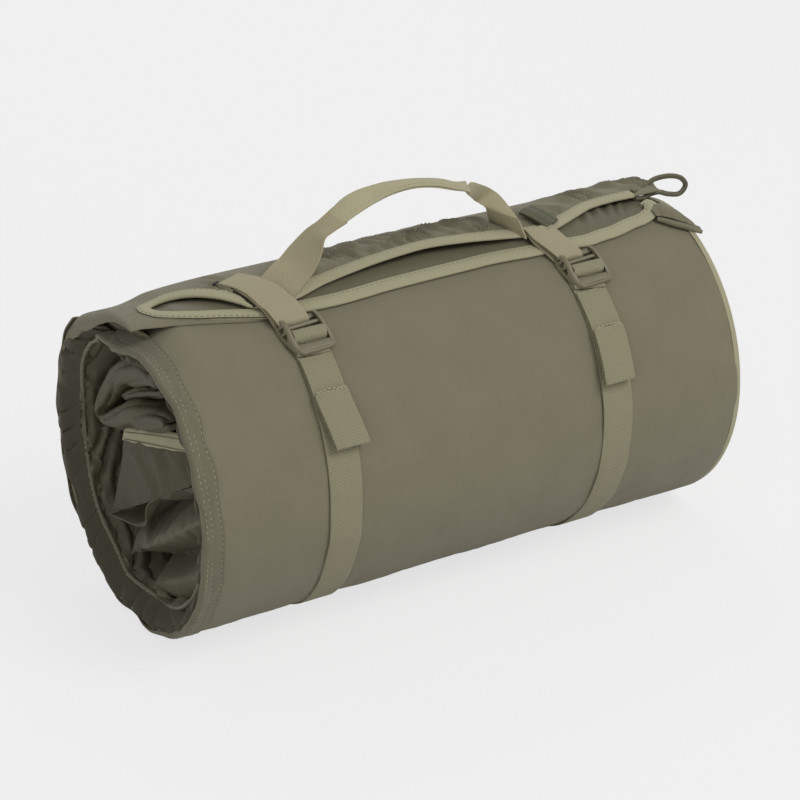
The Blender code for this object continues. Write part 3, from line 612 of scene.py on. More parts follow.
def woven(name, colour, roughness, pitch, depth, spread=0.12, sheen=0.15, blotch=28.0, specular=0.25):
    """Plain-woven cloth: threads over and under each other, with uneven dye and painted shade between the raised
    threads.
    """
    s = Shading(name, roughness)
    u, v = s.cloth_uv()
    turn = 2 * math.pi / pitch
    over = s.math("SINE", s.math("MULTIPLY", u, turn))
    under = s.math("SINE", s.math("MULTIPLY", v, turn))
    threads = s.math("MULTIPLY", over, under)
    grain = s.noise(1400.0, 3.0, 0.7)
    height = s.math("MULTIPLY_ADD", threads, 0.5, s.math("MULTIPLY", grain, 1.2))
    fine = s.math("MULTIPLY", s.noise(820.0, 2.0, 0.8), 0.60)
    wide = s.math("MULTIPLY_ADD", s.noise(blotch, 3.0, 0.6), 0.40, fine)
    # painted shade: colour lighter on the raised threads, darker between them, over the uneven dye
    dye_and_thread_shade = s.math("MULTIPLY_ADD", threads, 0.10, wide)
    s.colour(scaled(colour, 1 - 2 * spread), scaled(colour, 1 + 2 * spread), dye_and_thread_shade)
    s.relief(height, depth, 0.6)
    s.shader.inputs["Sheen Weight"].default_value = sheen
    s.shader.inputs["Sheen Roughness"].default_value = 0.5
    s.shader.inputs["Specular IOR Level"].default_value = specular
    return s.material


def ribbed(name, colour, roughness, pitch, depth, slant, spread=0.16):
    """Webbing: raised slanting ribs crossed by fine threads."""
    s = Shading(name, roughness)
    u, v = s.cloth_uv()
    turn = 2 * math.pi / pitch
    lean = s.math("MULTIPLY_ADD", v, math.cos(slant) * turn, s.math("MULTIPLY", u, math.sin(slant) * turn))
    rib = s.math("MULTIPLY_ADD", s.math("SINE", lean), 0.5, 0.5)
    fine = s.math("SINE", s.math("MULTIPLY", u, 2 * math.pi / 0.0009))
    height = s.math("MULTIPLY_ADD", fine, 0.12, rib)
    grain = s.noise(900.0, 2.0, 0.7)
    # painted shade: colour lighter on the ribs' raised crowns, darker between them, mixed with uneven grain
    shade = s.math("MULTIPLY_ADD", rib, 0.45, s.math("MULTIPLY", grain, 0.55))
    s.colour(scaled(colour, 1 - spread), scaled(colour, 1 + spread), shade)
    s.relief(height, depth, 0.8)
    s.shader.inputs["Sheen Weight"].default_value = 0.1
    s.shader.inputs["Specular IOR Level"].default_value = 0.3
    return s.material


def basket(name, colour, roughness, pitch, depth, spread=0.14):
    """Flat webbing: rows of short raised floats, each row set off by half a float."""
    s = Shading(name, roughness)
    u, v = s.cloth_uv()
    turn = 2 * math.pi / pitch
    lean = s.math("MULTIPLY_ADD", v, 0.80 * turn, s.math("MULTIPLY", u, 0.60 * turn))
    back = s.math("MULTIPLY_ADD", v, -0.80 * turn, s.math("MULTIPLY", u, 0.60 * turn))
    floats = s.math("MULTIPLY", s.math("SINE", lean), s.math("SINE", back))
    rib = s.math("MULTIPLY_ADD", s.math("SINE", lean), 0.25, s.math("MULTIPLY_ADD", floats, 0.30, 0.5))
    # painted shade: colour lighter on the raised floats, darker between them, mixed with uneven grain
    shade = s.math("MULTIPLY_ADD", rib, 0.50, s.math("MULTIPLY", s.noise(900.0, 2.0, 0.7), 0.50))
    s.colour(scaled(colour, 1 - spread), scaled(colour, 1 + spread), shade)
    s.relief(rib, depth, 0.8)
    s.shader.inputs["Sheen Weight"].default_value = 0.1
    s.shader.inputs["Specular IOR Level"].default_value = 0.3
    return s.material


def moulded(name, colour, roughness):
    """Satin plastic with a fine spark-eroded grain."""
    s = Shading(name, roughness)
    grain = s.noise(2600.0, 2.0, 0.5)
    s.colour(scaled(colour, 0.95), scaled(colour, 1.05), s.noise(60.0))
    s.relief(grain, 0.00008, 0.5)
    return s.material


def make_looks():
    shell = linear(124, 119, 97)
    looks = {
        "shell": (woven("shell_cloth", shell, 0.82, 0.0009, 0.00022), "shell_fabric"),
        # facing strip: the shell's cloth painted darker, as painted shade on the roll's left end
        "facing": (woven("facing_shaded_cloth", scaled(shell, 0.82), 0.80, 0.0009, 0.00022), "shell_fabric"),
        # pocket panel: the shell's fabric, darker, partly for its own coated darker cloth and partly as painted
        # shade inside the left mouth
        "inside": (woven("pocket_shaded_cloth", linear(86, 82, 64), 0.60, 0.0008, 0.00012, 0.10, 0.02),
                   "shell_fabric"),
        "lining": (woven("lining_cloth", linear(101, 97, 76), 0.55, 0.0006, 0.00010, 0.08, 0.05, 20.0, 0.5),
                   "lining_fabric"),
        # gusset: the lining's cloth painted darker, as painted shade on the left end, which faces away from the
        # lamps
        "gusset": (woven("gusset_shaded_cloth", linear(74, 70, 53), 0.50, 0.0006, 0.00010, 0.08, 0.0, 20.0, 0.30),
                   "lining_fabric"),
        "gloss": (woven("coated_cloth", linear(106, 102, 81), 0.42, 0.0006, 0.00008, 0.07, 0.05, 20.0, 0.5),
                  "lining_fabric"),
        "roll": (woven("roll_cloth", linear(90, 85, 66), 0.50, 0.0006, 0.00008, 0.07, 0.0, 20.0, 0.30),
                 "lining_fabric"),
        "foam": (woven("cell_foam", linear(70, 68, 62), 0.95, 0.0011, 0.0003), "foam"),
        "tape": (ribbed("tape_weave", linear(163, 158, 129), 0.80, 0.0012, 0.00015, 0.0, 0.10), "edge_tape"),
        "webbing": (basket("strap_weave", linear(139, 134, 108), 0.75, 0.0022, 0.00040), "webbing"),
        "loop": (ribbed("loop_weave", linear(158, 150, 122), 0.78, 0.0011, 0.00012, 1.2, 0.06), "webbing"),
        "handle": (ribbed("handle_weave", linear(171, 165, 134), 0.75, 0.0012, 0.00018, 0.85, 0.10),
                   "handle_webbing"),
        # handle's necks: the handle's webbing painted darker, as painted shade
        "neck": (ribbed("neck_shaded_weave", linear(162, 154, 124), 0.75, 0.0012, 0.00018, 0.85, 0.10),
                 "handle_webbing"),
        "plastic": (moulded("satin_plastic", linear(121, 115, 92), 0.42), "buckle_plastic"),
        "thread": (woven("thread", linear(172, 168, 140), 0.7, 0.0004, 0.0001), "thread"),
        "dark_thread": (woven("dark_thread", linear(88, 84, 66), 0.7, 0.0004, 0.0001), "thread"),
        "cord": (ribbed("cord_braid", linear(104, 100, 78), 0.7, 0.0011, 0.0004, 0.7), "elastic_cord"),
        # painted shade: the near-black cloth of the strip under the left patch's edge
        "dark": (woven("edge_shade_cloth", linear(40, 34, 24), 0.9, 0.0008, 0.0003), "webbing"),
        "label": (woven("label_weave", linear(84, 84, 62), 0.8, 0.0006, 0.0002), "label_fabric"),
    }
    return looks


# Stage

WORLD_LIGHT = 0.47
FLOOR_REACH = 6.0
FLOOR_GLOW = 0.80
LAMPS = {
    "key": ((0.9, -1.9, 2.4), 1.6, 44.5),
    "fill": ((-2.0, -1.4, 1.4), 2.0, 6.5),
    "back": ((0.4, 2.2, 1.8), 1.8, 17.0),
}
LAMP_TARGET = Vector((0, 0, 0.12))


def make_world():
    """Soft light all round, under a background that the camera sees at full strength."""
    world = bpy.data.worlds.new("studio")
    bpy.context.scene.world = world
    world.use_nodes = True
    tree = world.node_tree
    background = tree.nodes["Background"]
    background.inputs[0].default_value = linear(241, 241, 241)
    path = tree.nodes.new("ShaderNodeLightPath")
    strength = tree.nodes.new("ShaderNodeMath")
    strength.operation = "MULTIPLY_ADD"
    strength.inputs[1].default_value = 1.0 - WORLD_LIGHT
    strength.inputs[2].default_value = WORLD_LIGHT
    tree.links.new(path.outputs["Is Camera Ray"], strength.inputs[0])
    tree.links.new(strength.outputs[0], background.inputs[1])


def make_floor():
    mesh = bpy.data.meshes.new("floor")
    far = FLOOR_REACH
    mesh.from_pydata([(-far, -far, 0), (far, -far, 0), (far, far, 0), (-far, far, 0)], [], [(0, 1, 2, 3)])
    floor = bpy.data.objects.new("floor", mesh)
    bpy.context.scene.collection.objects.link(floor)
    s = Shading("pale_floor", 0.9)
    s.shader.inputs["Base Color"].default_value = linear(238, 238, 238)
    glow = s.node("ShaderNodeEmission")
    glow.inputs[0].default_value = linear(244, 244, 244)
    light_path = s.node("ShaderNodeLightPath")
    blend = s.node("ShaderNodeMixShader")
    s.link(s.math("MULTIPLY", light_path.outputs["Is Camera Ray"], FLOOR_GLOW), blend.inputs[0])
    s.link(s.shader.outputs[0], blend.inputs[1])
    s.link(glow.outputs[0], blend.inputs[2])
    s.link(blend.outputs[0], s.tree.nodes["Material Output"].inputs[0])
    mesh.materials.append(s.material)


def add_lamp(name, place, size, power):
    data = bpy.data.lights.new(name, "AREA")
    data.size = size
    data.energy = power
    lamp = bpy.data.objects.new(name, data)
    lamp.location = place
    lamp.rotation_euler = (LAMP_TARGET - Vector(place)).to_track_quat("-Z", "Y").to_euler()
    bpy.context.scene.collection.objects.link(lamp)


def make_stage():
    bpy.context.scene.view_settings.view_transform = "Standard"
    make_world()
    make_floor()
    for name, (place, size, power) in LAMPS.items():
        add_lamp(name, place, size, power)


# Elastic loop: a cord, whose route repeats the one in the part's source

CORD = 0.0040
ELASTIC_ROUTE = [
    (0.1989, -0.0035, 0.2458), (0.2075, -0.0005, 0.2438), (0.2170, 0.0030, 0.2455),
    (0.2265, 0.0050, 0.2480), (0.2390, 0.0045, 0.2482), (0.2500, 0.0040, 0.2448),
    (0.2555, 0.0040, 0.2378), (0.2500, 0.0040, 0.2318), (0.2390, 0.0035, 0.2338),
    (0.2280, 0.0010, 0.2385), (0.2170, -0.0025, 0.2402), (0.2075, -0.0058, 0.2400),
    (0.1990, -0.0075, 0.2420),
]


def make_elastic(looks):
    path = evenly(curve_through(ELASTIC_ROUTE, 120), 0.0015)
    loop = tube("elastic_cord", round_rings(path, CORD / 2, 12), looks["cord"])
    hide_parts("elastic_loop")


# The cover's free end. The opening at its left has an upper rim, a lower rim and a left end. Each line
# is a list of (x, psi, height over the layer below).

HOLE_LEFT = -0.2005
HOLE_PSI = 16.6
UPPER_RIM = [
    (-0.2005, 16.6, 0.0046), (-0.1985, 19.0, 0.0056), (-0.1907, 20.2, 0.0070), (-0.1804, 18.3, 0.0085),
    (-0.1698, 14.6, 0.0092), (-0.1560, 8.6, 0.0086), (-0.1450, 3.6, 0.0072), (-0.1377, 0.8, 0.0062),
    (-0.1200, -0.6, 0.0058), (-0.1040, 0.6, 0.0058), (-0.0900, 2.4, 0.0064), (-0.0752, 4.2, 0.0072),
    (-0.0391, 6.6, 0.0094), (-0.0100, 7.6, 0.0108), (0.0129, 7.8, 0.0112), (0.0432, 5.9, 0.0106),
    (0.0661, 4.4, 0.0092), (0.0923, 3.6, 0.0066), (0.1154, 4.3, 0.0060), (0.1400, 8.2, 0.0072),
    (0.1577, 11.3, 0.0082), (0.1783, 11.7, 0.0092), (0.1974, 11.0, 0.0094),
]
LOWER_RIM = [
    (-0.2005, 16.6, 0.0046), (-0.1990, 14.2, 0.0040), (-0.1969, 12.4, 0.0037), (-0.1902, 10.1, 0.0034),
    (-0.1824, 8.2, 0.0032), (-0.1731, 6.2, 0.0030), (-0.1652, 4.9, 0.0030), (-0.1469, 1.9, 0.0030),
    (-0.1325, -0.2, 0.0030), (-0.1140, -1.2, 0.0030),
]
FRONT_FOLD = [
    (-0.2300, 9.0, 0.0022), (-0.2223, 7.6, 0.0022), (-0.2118, 6.0, 0.0022), (-0.1953, 3.8, 0.0022),
    (-0.1784, 1.5, 0.0022), (-0.1600, -1.0, 0.0022), (-0.1400, -3.4, 0.0022), (-0.1140, -4.0, 0.0022),
]
LOWER_EDGE = [
    (-0.1300, -4.6, 0.0022), (-0.1080, -4.4, 0.0021), (-0.0763, -4.8, 0.0021), (-0.0516, -4.3, 0.0021),
    (-0.0347, -3.8, 0.0021), (-0.0012, -3.5, 0.0021), (0.0325, -3.35, 0.0021), (0.0496, -3.2, 0.0021),
    (0.0663, -3.6, 0.0021), (0.0850, -4.3, 0.0021), (0.1100, -4.6, 0.0021), (0.1336, -5.6, 0.0021),
    (0.1472, -4.9, 0.0021), (0.1620, -4.3, 0.0021), (0.1785, -2.5, 0.0021), (0.1920, -0.9, 0.0021),
]
LOWER_CORNER = [
    (0.1890, -1.8, 0.0021), (0.1972, -0.6, 0.0026), (0.2040, 1.2, 0.0036), (0.2076, 4.2, 0.0046),
    (0.2080, 6.8, 0.0050), (0.2062, 9.0, 0.0050),
]


class Edge:
    """A line over the layer below, read by x."""

    def __init__(self, points, count=400):
        self.line = curve_through(points, count)
        order = np.argsort(self.line[:, 0])
        self.x, self.psi_at, self.height_at = self.line[order].T

    def psi(self, x):
        return np.interp(x, self.x, self.psi_at)

    def height(self, x):
        return np.interp(x, self.x, self.height_at)


UPPER = Edge(UPPER_RIM)
LOWER = Edge(LOWER_RIM)
FRONT = Edge(FRONT_FOLD)
LOWER_FREE = Edge(LOWER_EDGE)
REACH_FULL_DEG = 60.0
FULL_HEIGHT = WRAP_PITCH * float(fit_to_outline(FREE_END_DEG + PADS_START_DEG))
LEAST_HEIGHT = 0.0006
cover_noise = waves(3, 0.040, 0.140)
fine_noise = waves(4, 0.012, 0.030)
edge_noise = waves(5, 0.015, 0.050)
ripple_noise = waves(6, 0.030, 0.080)


def strap_press(x):
    """How the cover dips under the straps and swells beside them."""
    out = 0.0
    for centre in STRAP_X.values():
        beside = np.maximum(np.abs(x - centre) - WEB_WIDTH / 2, 0.0)
        out = out - 0.0009 * (1 - smooth(beside / 0.035))
    return out + 0.0009


def gathers(x, behind):
    """Puckers across the band behind the upper binding, in metres of height."""
    lean = x + 0.55 * behind
    phase = lean / 0.0112 + 0.55 * ripple_noise(lean, 0.0)
    ridge = 0.62 * np.sin(2 * math.pi * phase) + 0.38
    strength = 0.0042 * (1 - smooth((behind - 0.024) / 0.034)) * smooth((behind - 0.0072) / 0.005)
    quiet = 1 - 0.8 * bump(x - STRAP_X["left"], 0.035) - 0.8 * bump(x - STRAP_X["right"], 0.030)
    quiet = np.clip(quiet, 0, 1) * smooth((x + 0.165) / 0.02)
    return strength * ridge * quiet * np.clip(0.85 + 0.25 * edge_noise(x, behind), 0.3, 1.2)


def cover_relief(x, psi):
    """How far the cover stands off the even spiral where it isn't free: press, swell and gentle waves."""
    s = np.radians(psi) * OUTLINE_RADIUS
    under_free_end = 1 - smooth((psi - 325) / 20)
    wound_in = 1 - smooth((psi - 350) / 20)
    lift = strap_press(x) + 0.00030 * cover_noise(x, s) + 0.00010 * fine_noise(x, s)
    return lift * wound_in * under_free_end - 0.0002 * (1 - under_free_end) * wound_in


def cover_height(x, psi):
    """Height of the cover's top over the layer below, from its rims back to psi 60."""
    t = np.clip((psi - FRONT.psi(x)) / (REACH_FULL_DEG - FRONT.psi(x)), 0, 1)
    beside = mix(FRONT.height(x), FULL_HEIGHT, t ** 1.3)
    t = np.clip((psi - UPPER.psi(x)) / (REACH_FULL_DEG - UPPER.psi(x)), 0, 1)
    behind = mix(UPPER.height(x), FULL_HEIGHT, 1 - (1 - t) ** 2.0)
    return mix(beside, behind, smooth((x - HOLE_LEFT) / 0.020))


def cover_point(x, psi, lift=0.0):
    """Point on the cover's outer face: over the free end up to psi 60, wound after it."""
    x, psi, lift = np.broadcast_arrays(np.asarray(x, float), np.asarray(psi, float), np.asarray(lift, float))
    behind = np.radians(np.clip(psi - UPPER.psi(x), 0, 90)) * OUTLINE_RADIUS
    free = on_top(x, psi, cover_height(x, psi) + gathers(x, behind) * (psi < 70) + lift)
    wound = at_depth(x, psi, -(cover_relief(x, psi) * smooth((psi - 40) / 20) + lift))
    return mix(free, wound, smooth((psi - 42) / 18)[..., None])


# The cover

FLAT_LEFT = ROLL_LEFT + 0.0078
COVER_COLUMNS = 270
COVER_STEP_DEG = 1.5
FREE_ROWS = 46
LIP_ROWS = 14


def left_wrap(psi):
    """Columns (x in, drop) of the cover's left edge: rounded, then down over the end face."""
    radius = mix(0.0085, 0.0030, smooth((psi - 50) / 20))[:, None]
    height = cover_height(np.full(psi.shape, ROLL_LEFT), np.clip(psi, 0, REACH_FULL_DEG))
    stop = np.interp(psi, (30, 50, 60, 75), (0.0, 0.0030, 0.0070, 0.0160))
    least = mix(0.0012, 0.0032, smooth((psi - 12) / 12))
    deepest = np.maximum(height - LEAST_HEIGHT - stop, least)[:, None]
    radius = np.minimum(radius, deepest)
    a = np.linspace(0, math.pi / 2, 7)[None]
    down = np.linspace(0, 1, 7)[None, 1:]
    inward = np.concatenate([radius * (1 - np.sin(a)), 0.0012 * down * (deepest > 0.004)], 1)
    drop = np.concatenate([radius * (1 - np.cos(a)), mix(radius, deepest, down)], 1)
    return inward[:, ::-1], drop[:, ::-1]


def cover_grid():
    """The cover from the opening's upper rim back over the roll and into the winding."""
    flat_x = np.concatenate([np.linspace(FLAT_LEFT, HOLE_LEFT, 10),
                             np.linspace(HOLE_LEFT + 0.0012, ROLL_RIGHT - 0.0030, COVER_COLUMNS),
                             ROLL_RIGHT - np.array([0.0020, 0.0013, 0.0009])])
    near = np.arange(REACH_FULL_DEG, 345.1, COVER_STEP_DEG)
    far = np.concatenate([np.arange(348.0, 400.0, 3.0), np.arange(403.0, WIND_END_DEG + 1, 8.0)])
    t = np.linspace(0, 1, FREE_ROWS)[:-1]
    start = np.where(flat_x <= HOLE_LEFT, HOLE_PSI, UPPER.psi(flat_x))
    psi = np.concatenate([mix(start[None], REACH_FULL_DEG, t[:, None]),
                          np.repeat(np.concatenate([near, far])[:, None], len(flat_x), 1)])
    x = np.repeat(flat_x[None], len(psi), 0)
    recess = LEFT_RECESS * smooth((psi - 398) / 50)
    inside = mix(FLAT_LEFT + recess, ROLL_RIGHT - 0.0009, (flat_x - flat_x[0])[None] / np.ptp(flat_x))
    x = mix(x, inside, smooth((psi - 340) / 10))
    grid = cover_point(x, psi, -0.0016 * (1 - smooth((ROLL_RIGHT - x) / 0.006)))
    inward, drop = left_wrap(psi[:, 0])
    edge = cover_point(ROLL_LEFT + inward + recess[:, :1], psi[:, :1], -drop)
    return np.concatenate([edge, grid], 1)


def lip_grid():
    """The strip of cover in front of the opening, from the front fold to the opening's lower rim."""
    across = np.concatenate([np.linspace(FLAT_LEFT, HOLE_LEFT, 12), np.linspace(HOLE_LEFT, -0.1250, 40)[1:]])
    rear = np.where(across <= HOLE_LEFT, HOLE_PSI, LOWER.psi(across))
    rear_height = np.where(across <= HOLE_LEFT, cover_height(across, np.full_like(across, HOLE_PSI)),
                           LOWER.height(across))
    t = np.linspace(0, 1, LIP_ROWS)[:, None]
    psi = mix(FRONT.psi(across)[None], rear[None], t)
    before = mix(FRONT.height(across)[None], rear_height[None], smooth(t))
    fold = 0.0016 * (1 - t) ** 6
    height = mix(cover_height(across[None], psi), before, smooth((across - HOLE_LEFT) / 0.010)[None]) - fold
    grid = on_top(np.repeat(across[None], LIP_ROWS, 0), psi, np.maximum(height, LEAST_HEIGHT))
    inward, drop = left_wrap(psi[:, 0])
    edge_x = ROLL_LEFT + inward
    edge_psi = np.repeat(psi[:, :1], inward.shape[1], 1)
    edge_height = cover_height(edge_x, edge_psi) - fold - drop
    edge = on_top(edge_x, edge_psi, np.maximum(edge_height, LEAST_HEIGHT))
    return np.concatenate([edge, grid], 1)


def make_cover(looks):
    vertices, faces, uv = open_grid(cover_grid())
    lip_vertices, lip_faces, lip_uv = open_grid(lip_grid())
    faces = np.concatenate([faces, lip_faces + len(vertices)])
    vertices = np.concatenate([vertices, lip_vertices])
    cover = mesh_object("outer_cover", vertices, faces, looks["shell"], None, np.concatenate([uv, lip_uv]))
    thicken(cover, 0.0008)
    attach(cover, "mat")
    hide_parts("outer_half_shell", "outer_half_end_hem", "end_fold_gusset")


# The other layers of the winding


def wound_layer(name, inner, side, thickness, look):
    """One layer of a half of the mat, at a height over the half's middle."""
    psi = np.arange(PADS_START_DEG, WIND_END_DEG + 0.1, 4.0)
    recess = LEFT_RECESS * smooth((psi - 345) / 60)
    left = ROLL_LEFT + 0.0016 + recess + (INNER_HALF_RECESS if inner else 0.0015)
    right = ROLL_RIGHT - 0.0014 - (0.0030 if inner else 0.0)
    x = mix(left[:, None], right, np.linspace(0, 1, 14)[None])
    depth = PAD / 2 - side + (HALF_SPACING if inner else 0.0)
    return cloth(name, at_depth(x, psi[:, None], depth), thickness, look)


def make_wound_layers(looks):
    skin = FOAM / 2 + GAP + FABRIC / 2
    made = {
        "outer_half_padding": ("outer_half_foam", False, 0.0, FOAM * 0.82, "foam"),
        "outer_half_lining_cloth": ("outer_half_lining", False, -skin, FABRIC, "lining"),
        "inner_half_lining_cloth": ("inner_half_lining", True, skin, FABRIC, "lining"),
        "inner_half_padding": ("inner_half_foam", True, 0.0, FOAM * 0.97, "foam"),
        "inner_half_cover": ("inner_half_shell", True, -skin, FABRIC, "shell"),
    }
    for name, (node, inner, side, thickness, look) in made.items():
        piece = wound_layer(name, inner, side, thickness, looks[look])
        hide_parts(node)


# Left end: facing strip, puckered gusset, second edge and the cloth inside them

FACING_WIDTH = 0.0150
FACING_END_PSI = 399.0
FACING_SEAMS = {"seam": 0.0137, "middle": 0.0070, "rim": 0.0030}
FACING_COLUMNS = 15
facing_noise = waves(11, 0.030, 0.090)


def facing_profile(psi):
    """Columns (x in from the left end, depth) of the facing strip, from its seam round the edge."""
    flat = np.linspace(FACING_WIDTH, 0.0030, FACING_COLUMNS)
    turn = mix(math.radians(75), math.radians(165), smooth((psi - 190) / 60))[:, None]
    a = np.linspace(0, 1, 10)[None, 1:] * turn
    radius = 0.0027
    inward = np.concatenate([np.repeat(flat[None], len(psi), 0), radius * (1 - np.sin(a)) + 0.0002], 1)
    depth = np.concatenate([np.zeros((len(psi), FACING_COLUMNS)), radius * (1 - np.cos(a))], 1)
    groove = np.exp(-((flat - FACING_SEAMS["seam"]) / 0.0009) ** 2)
    groove = groove + 0.6 * np.exp(-((flat - FACING_SEAMS["middle"]) / 0.0009) ** 2)
    depth[:, :FACING_COLUMNS] += 0.0007 * groove[None]
    return inward, depth


def make_facing(looks):
    psi = np.arange(PADS_START_DEG - 1, FACING_END_PSI, 1.2)
    inward, depth = facing_profile(psi)
    s = np.radians(psi) * OUTLINE_RADIUS
    wander = 0.0007 * facing_noise(s, 0.0)
    curl = 0.0060 * smooth((psi - 385) / 14)
    x = ROLL_LEFT - 0.0006 + inward + wander[:, None] * (inward > 0.010) + curl[:, None]
    x = x + 0.0007 * facing_noise(s, 0.5)[:, None] * (inward < 0.0035)
    lift = 0.0009 + 0.00020 * fine_noise(x, s[:, None])
    tip = 0.0050 * smooth((psi - 388) / 11)[:, None] * (1 - inward / FACING_WIDTH)
    points = at_depth(x, psi[:, None], depth - lift - cover_relief(x, psi[:, None]) + tip)
    strip = cloth("edge_facing", points, 0.0009, looks["facing"])
    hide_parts("left_edge_facing")
    for row, inset in FACING_SEAMS.items():
        where = ROLL_LEFT - 0.0006 + inset + (wander if row == "seam" else 0.0) + curl
        groove = 0.0005 if row != "rim" else 0.0
        path = at_depth(where, psi, groove - 0.00140 - cover_relief(where, psi))
        up = unit(at_depth(where, psi, -0.01) - at_depth(where, psi, 0.0))
        shown = slice(4, -8) if row == "seam" else slice(110, -8)
        stitches("edge_facing_" + row + "_stitching", path[shown], up[shown], looks["thread"], EDGE_STITCH)


GUSSET_FRONT = [(0.0044, 0.0034), (0.0026, 0.0052), (0.0026, 0.0076), (0.0048, 0.0100), (0.0075, 0.0128),
                (0.0098, 0.0155), (0.0106, 0.0180)]
GUSSET_BACK = [(0.0024, 0.0008), (0.0008, 0.0022), (0.0010, 0.0050), (0.0026, 0.0084), (0.0052, 0.0118),
               (0.0084, 0.0150), (0.0106, 0.0180)]
GUSSET_ROWS = 20
gusset_noise = waves(21, 0.014, 0.040)
gusset_slow = waves(22, 0.050, 0.120)


def make_second_edge(psi, s, drop, looks):
    """The stitched, puckered piping along the gusset's inner side."""
    ring = at_depth(ROLL_LEFT + 0.0105, psi, 0.0186 + drop)
    ring = ring + 0.0009 * np.stack([gusset_slow(s, 0.3), gusset_slow(s, 0.6), gusset_slow(s, 0.9)], -1)
    size = 0.0015 * (1 + 0.30 * np.abs(np.sin(s * math.pi / 0.0085)) + 0.12 * gusset_noise(s, 0.0))
    bead = tube("second_edge_piping", round_rings(ring, size, 10), looks["gloss"])
    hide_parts("inner_half_edge_piping")
    stitches("second_edge_stitching", ring[6:-6], (-1.0, 0.0, 0.0), looks["thread"], EDGE_STITCH, lift=0.0017)


def make_gusset(looks):
    psi = np.arange(36.0, 398.0, 0.8)
    front, back = curve_through(GUSSET_FRONT, GUSSET_ROWS), curve_through(GUSSET_BACK, GUSSET_ROWS)
    on_front = smooth((psi - 190) / 60)[:, None, None]
    profile = mix(back[None], front[None], on_front)
    s = np.radians(psi) * 0.110
    t = np.linspace(0, 1, GUSSET_ROWS)
    first = (s[:, None] + 0.020 * t[None]) / 0.022 + 0.35 * gusset_slow(s[:, None], t[None] * 0.02)
    second = (s[:, None] - 0.016 * t[None]) / 0.036 + 0.30 * gusset_slow(s[:, None] + 0.4, t[None] * 0.02)
    fold = 0.65 * (1 - 2 * np.abs(np.sin(math.pi * first)) ** 0.8)
    fold = fold + 0.35 * (1 - 2 * np.abs(np.sin(math.pi * second)) ** 0.8)
    shift = 0.0054 * fold * np.sin(math.pi * t)[None] ** 0.8 + 0.0003 * gusset_noise(s[:, None], t[None] * 0.02)
    start = WRAP_PITCH * fit_to_outline(FREE_END_DEG + psi) * smooth(psi / PADS_START_DEG)
    sunk = np.maximum(start - cover_height(np.full(psi.shape, ROLL_LEFT), psi), 0.0)
    drop = np.where(psi < REACH_FULL_DEG, sunk, 0.0)
    x = ROLL_LEFT + profile[:, :, 0] + np.maximum(shift, -profile[:, :, 0] - 0.0010)
    x = x + 0.0022 * (1 - smooth((psi - 62) / 16))[:, None] + 0.0060 * smooth((psi - 380) / 14)[:, None]
    tucked = 0.0048 * (1 - smooth((psi - 64) / 16))[:, None] * (1 - t)[None]
    depth = np.maximum(profile[:, :, 1] + 0.5 * shift, 0.0014) + drop[:, None] + tucked
    points = crumple(at_depth(x, psi[:, None], depth), pinned(x.shape, columns=(0, -1)), 0.07, 0.0018, 1.5)
    points[..., 0] = np.maximum(points[..., 0], ROLL_LEFT - 0.0035)
    gusset = cloth("puckered_gusset", points, 0.0007, looks["gusset"])
    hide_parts("fold_gusset")
    keep = psi < 374
    make_second_edge(psi[keep], s[keep], drop[keep], looks)


def make_ring_wall(looks):
    """Cloth that runs in from the second edge, folded along the roll's first turn."""
    psi = np.arange(PADS_START_DEG - 10, 372.0, 1.6)
    t = np.linspace(0, 1, 26)
    s = np.radians(psi) * 0.100
    phase = (s[:, None] * 0.35 + 0.050 * t[None]) / 0.020 + 0.30 * gusset_slow(s[:, None], t[None] * 0.04)
    fold = np.abs(np.sin(math.pi * phase)) ** 0.8
    strength = 0.0060 * smooth(t / 0.25) * (1 - smooth((t - 0.8) / 0.2))
    back = smooth((psi - 15) / 30) * (1 - smooth((psi - 235) / 40))
    depth = 0.0196 + fold * strength[None] * back[:, None]
    points = at_depth(ROLL_LEFT + 0.0105 + 0.034 * t[None], psi[:, None], depth)
    points = crumple(points, pinned(fold.shape, columns=(0, -1)), 0.20, 0.0050, 0.3)
    wall = cloth("mouth_wall", points, 0.0007, looks["lining"])


def make_tuck(name, psi, columns, under, foot, clearance, lean, pitch, depth, looks):
    """Folded cloth that closes an end of the roll, from under the cover down to the next turn.

    under holds the x where the cover's height is read and the x of the tuck's top, and foot is
    the x of its lower edge.
    """
    t = np.linspace(0, 1, columns)
    height = cover_height(np.full(psi.shape, under[0]), psi)
    top = on_top(under[1], psi, np.maximum(height - clearance, LEAST_HEIGHT))
    low = at_depth(foot, psi + 360, 0.0012)
    grid = mix(top[:, None], low[:, None], t[None, :, None])
    s = np.radians(psi)[:, None] * 0.115
    fold = np.sin(2 * math.pi * (s + lean * t[None]) / pitch + 0.8 * gusset_slow(s, t[None] * 0.02))
    grid[..., 0] += depth * fold * np.sin(math.pi * t)[None]
    tuck = cloth(name, grid, 0.0007, looks["lining"])


def make_tucks(looks):
    left, right = ROLL_LEFT, ROLL_RIGHT - 0.0035
    make_tuck("gusset_tuck", np.linspace(7.0, 50.0, 70), 18, (left, left + 0.0046), left + 0.0150,
              0.0030, 0.012, 0.019, 0.0020, looks)
    make_tuck("end_tuck", np.linspace(22.0, 56.0, 56), 14, (right, right), ROLL_RIGHT - 0.0060,
              0.0012, 0.010, 0.017, 0.0014, looks)


# Inside the left mouth. Panel and folds are rows of (x, theta, inset from the mat's inner face).

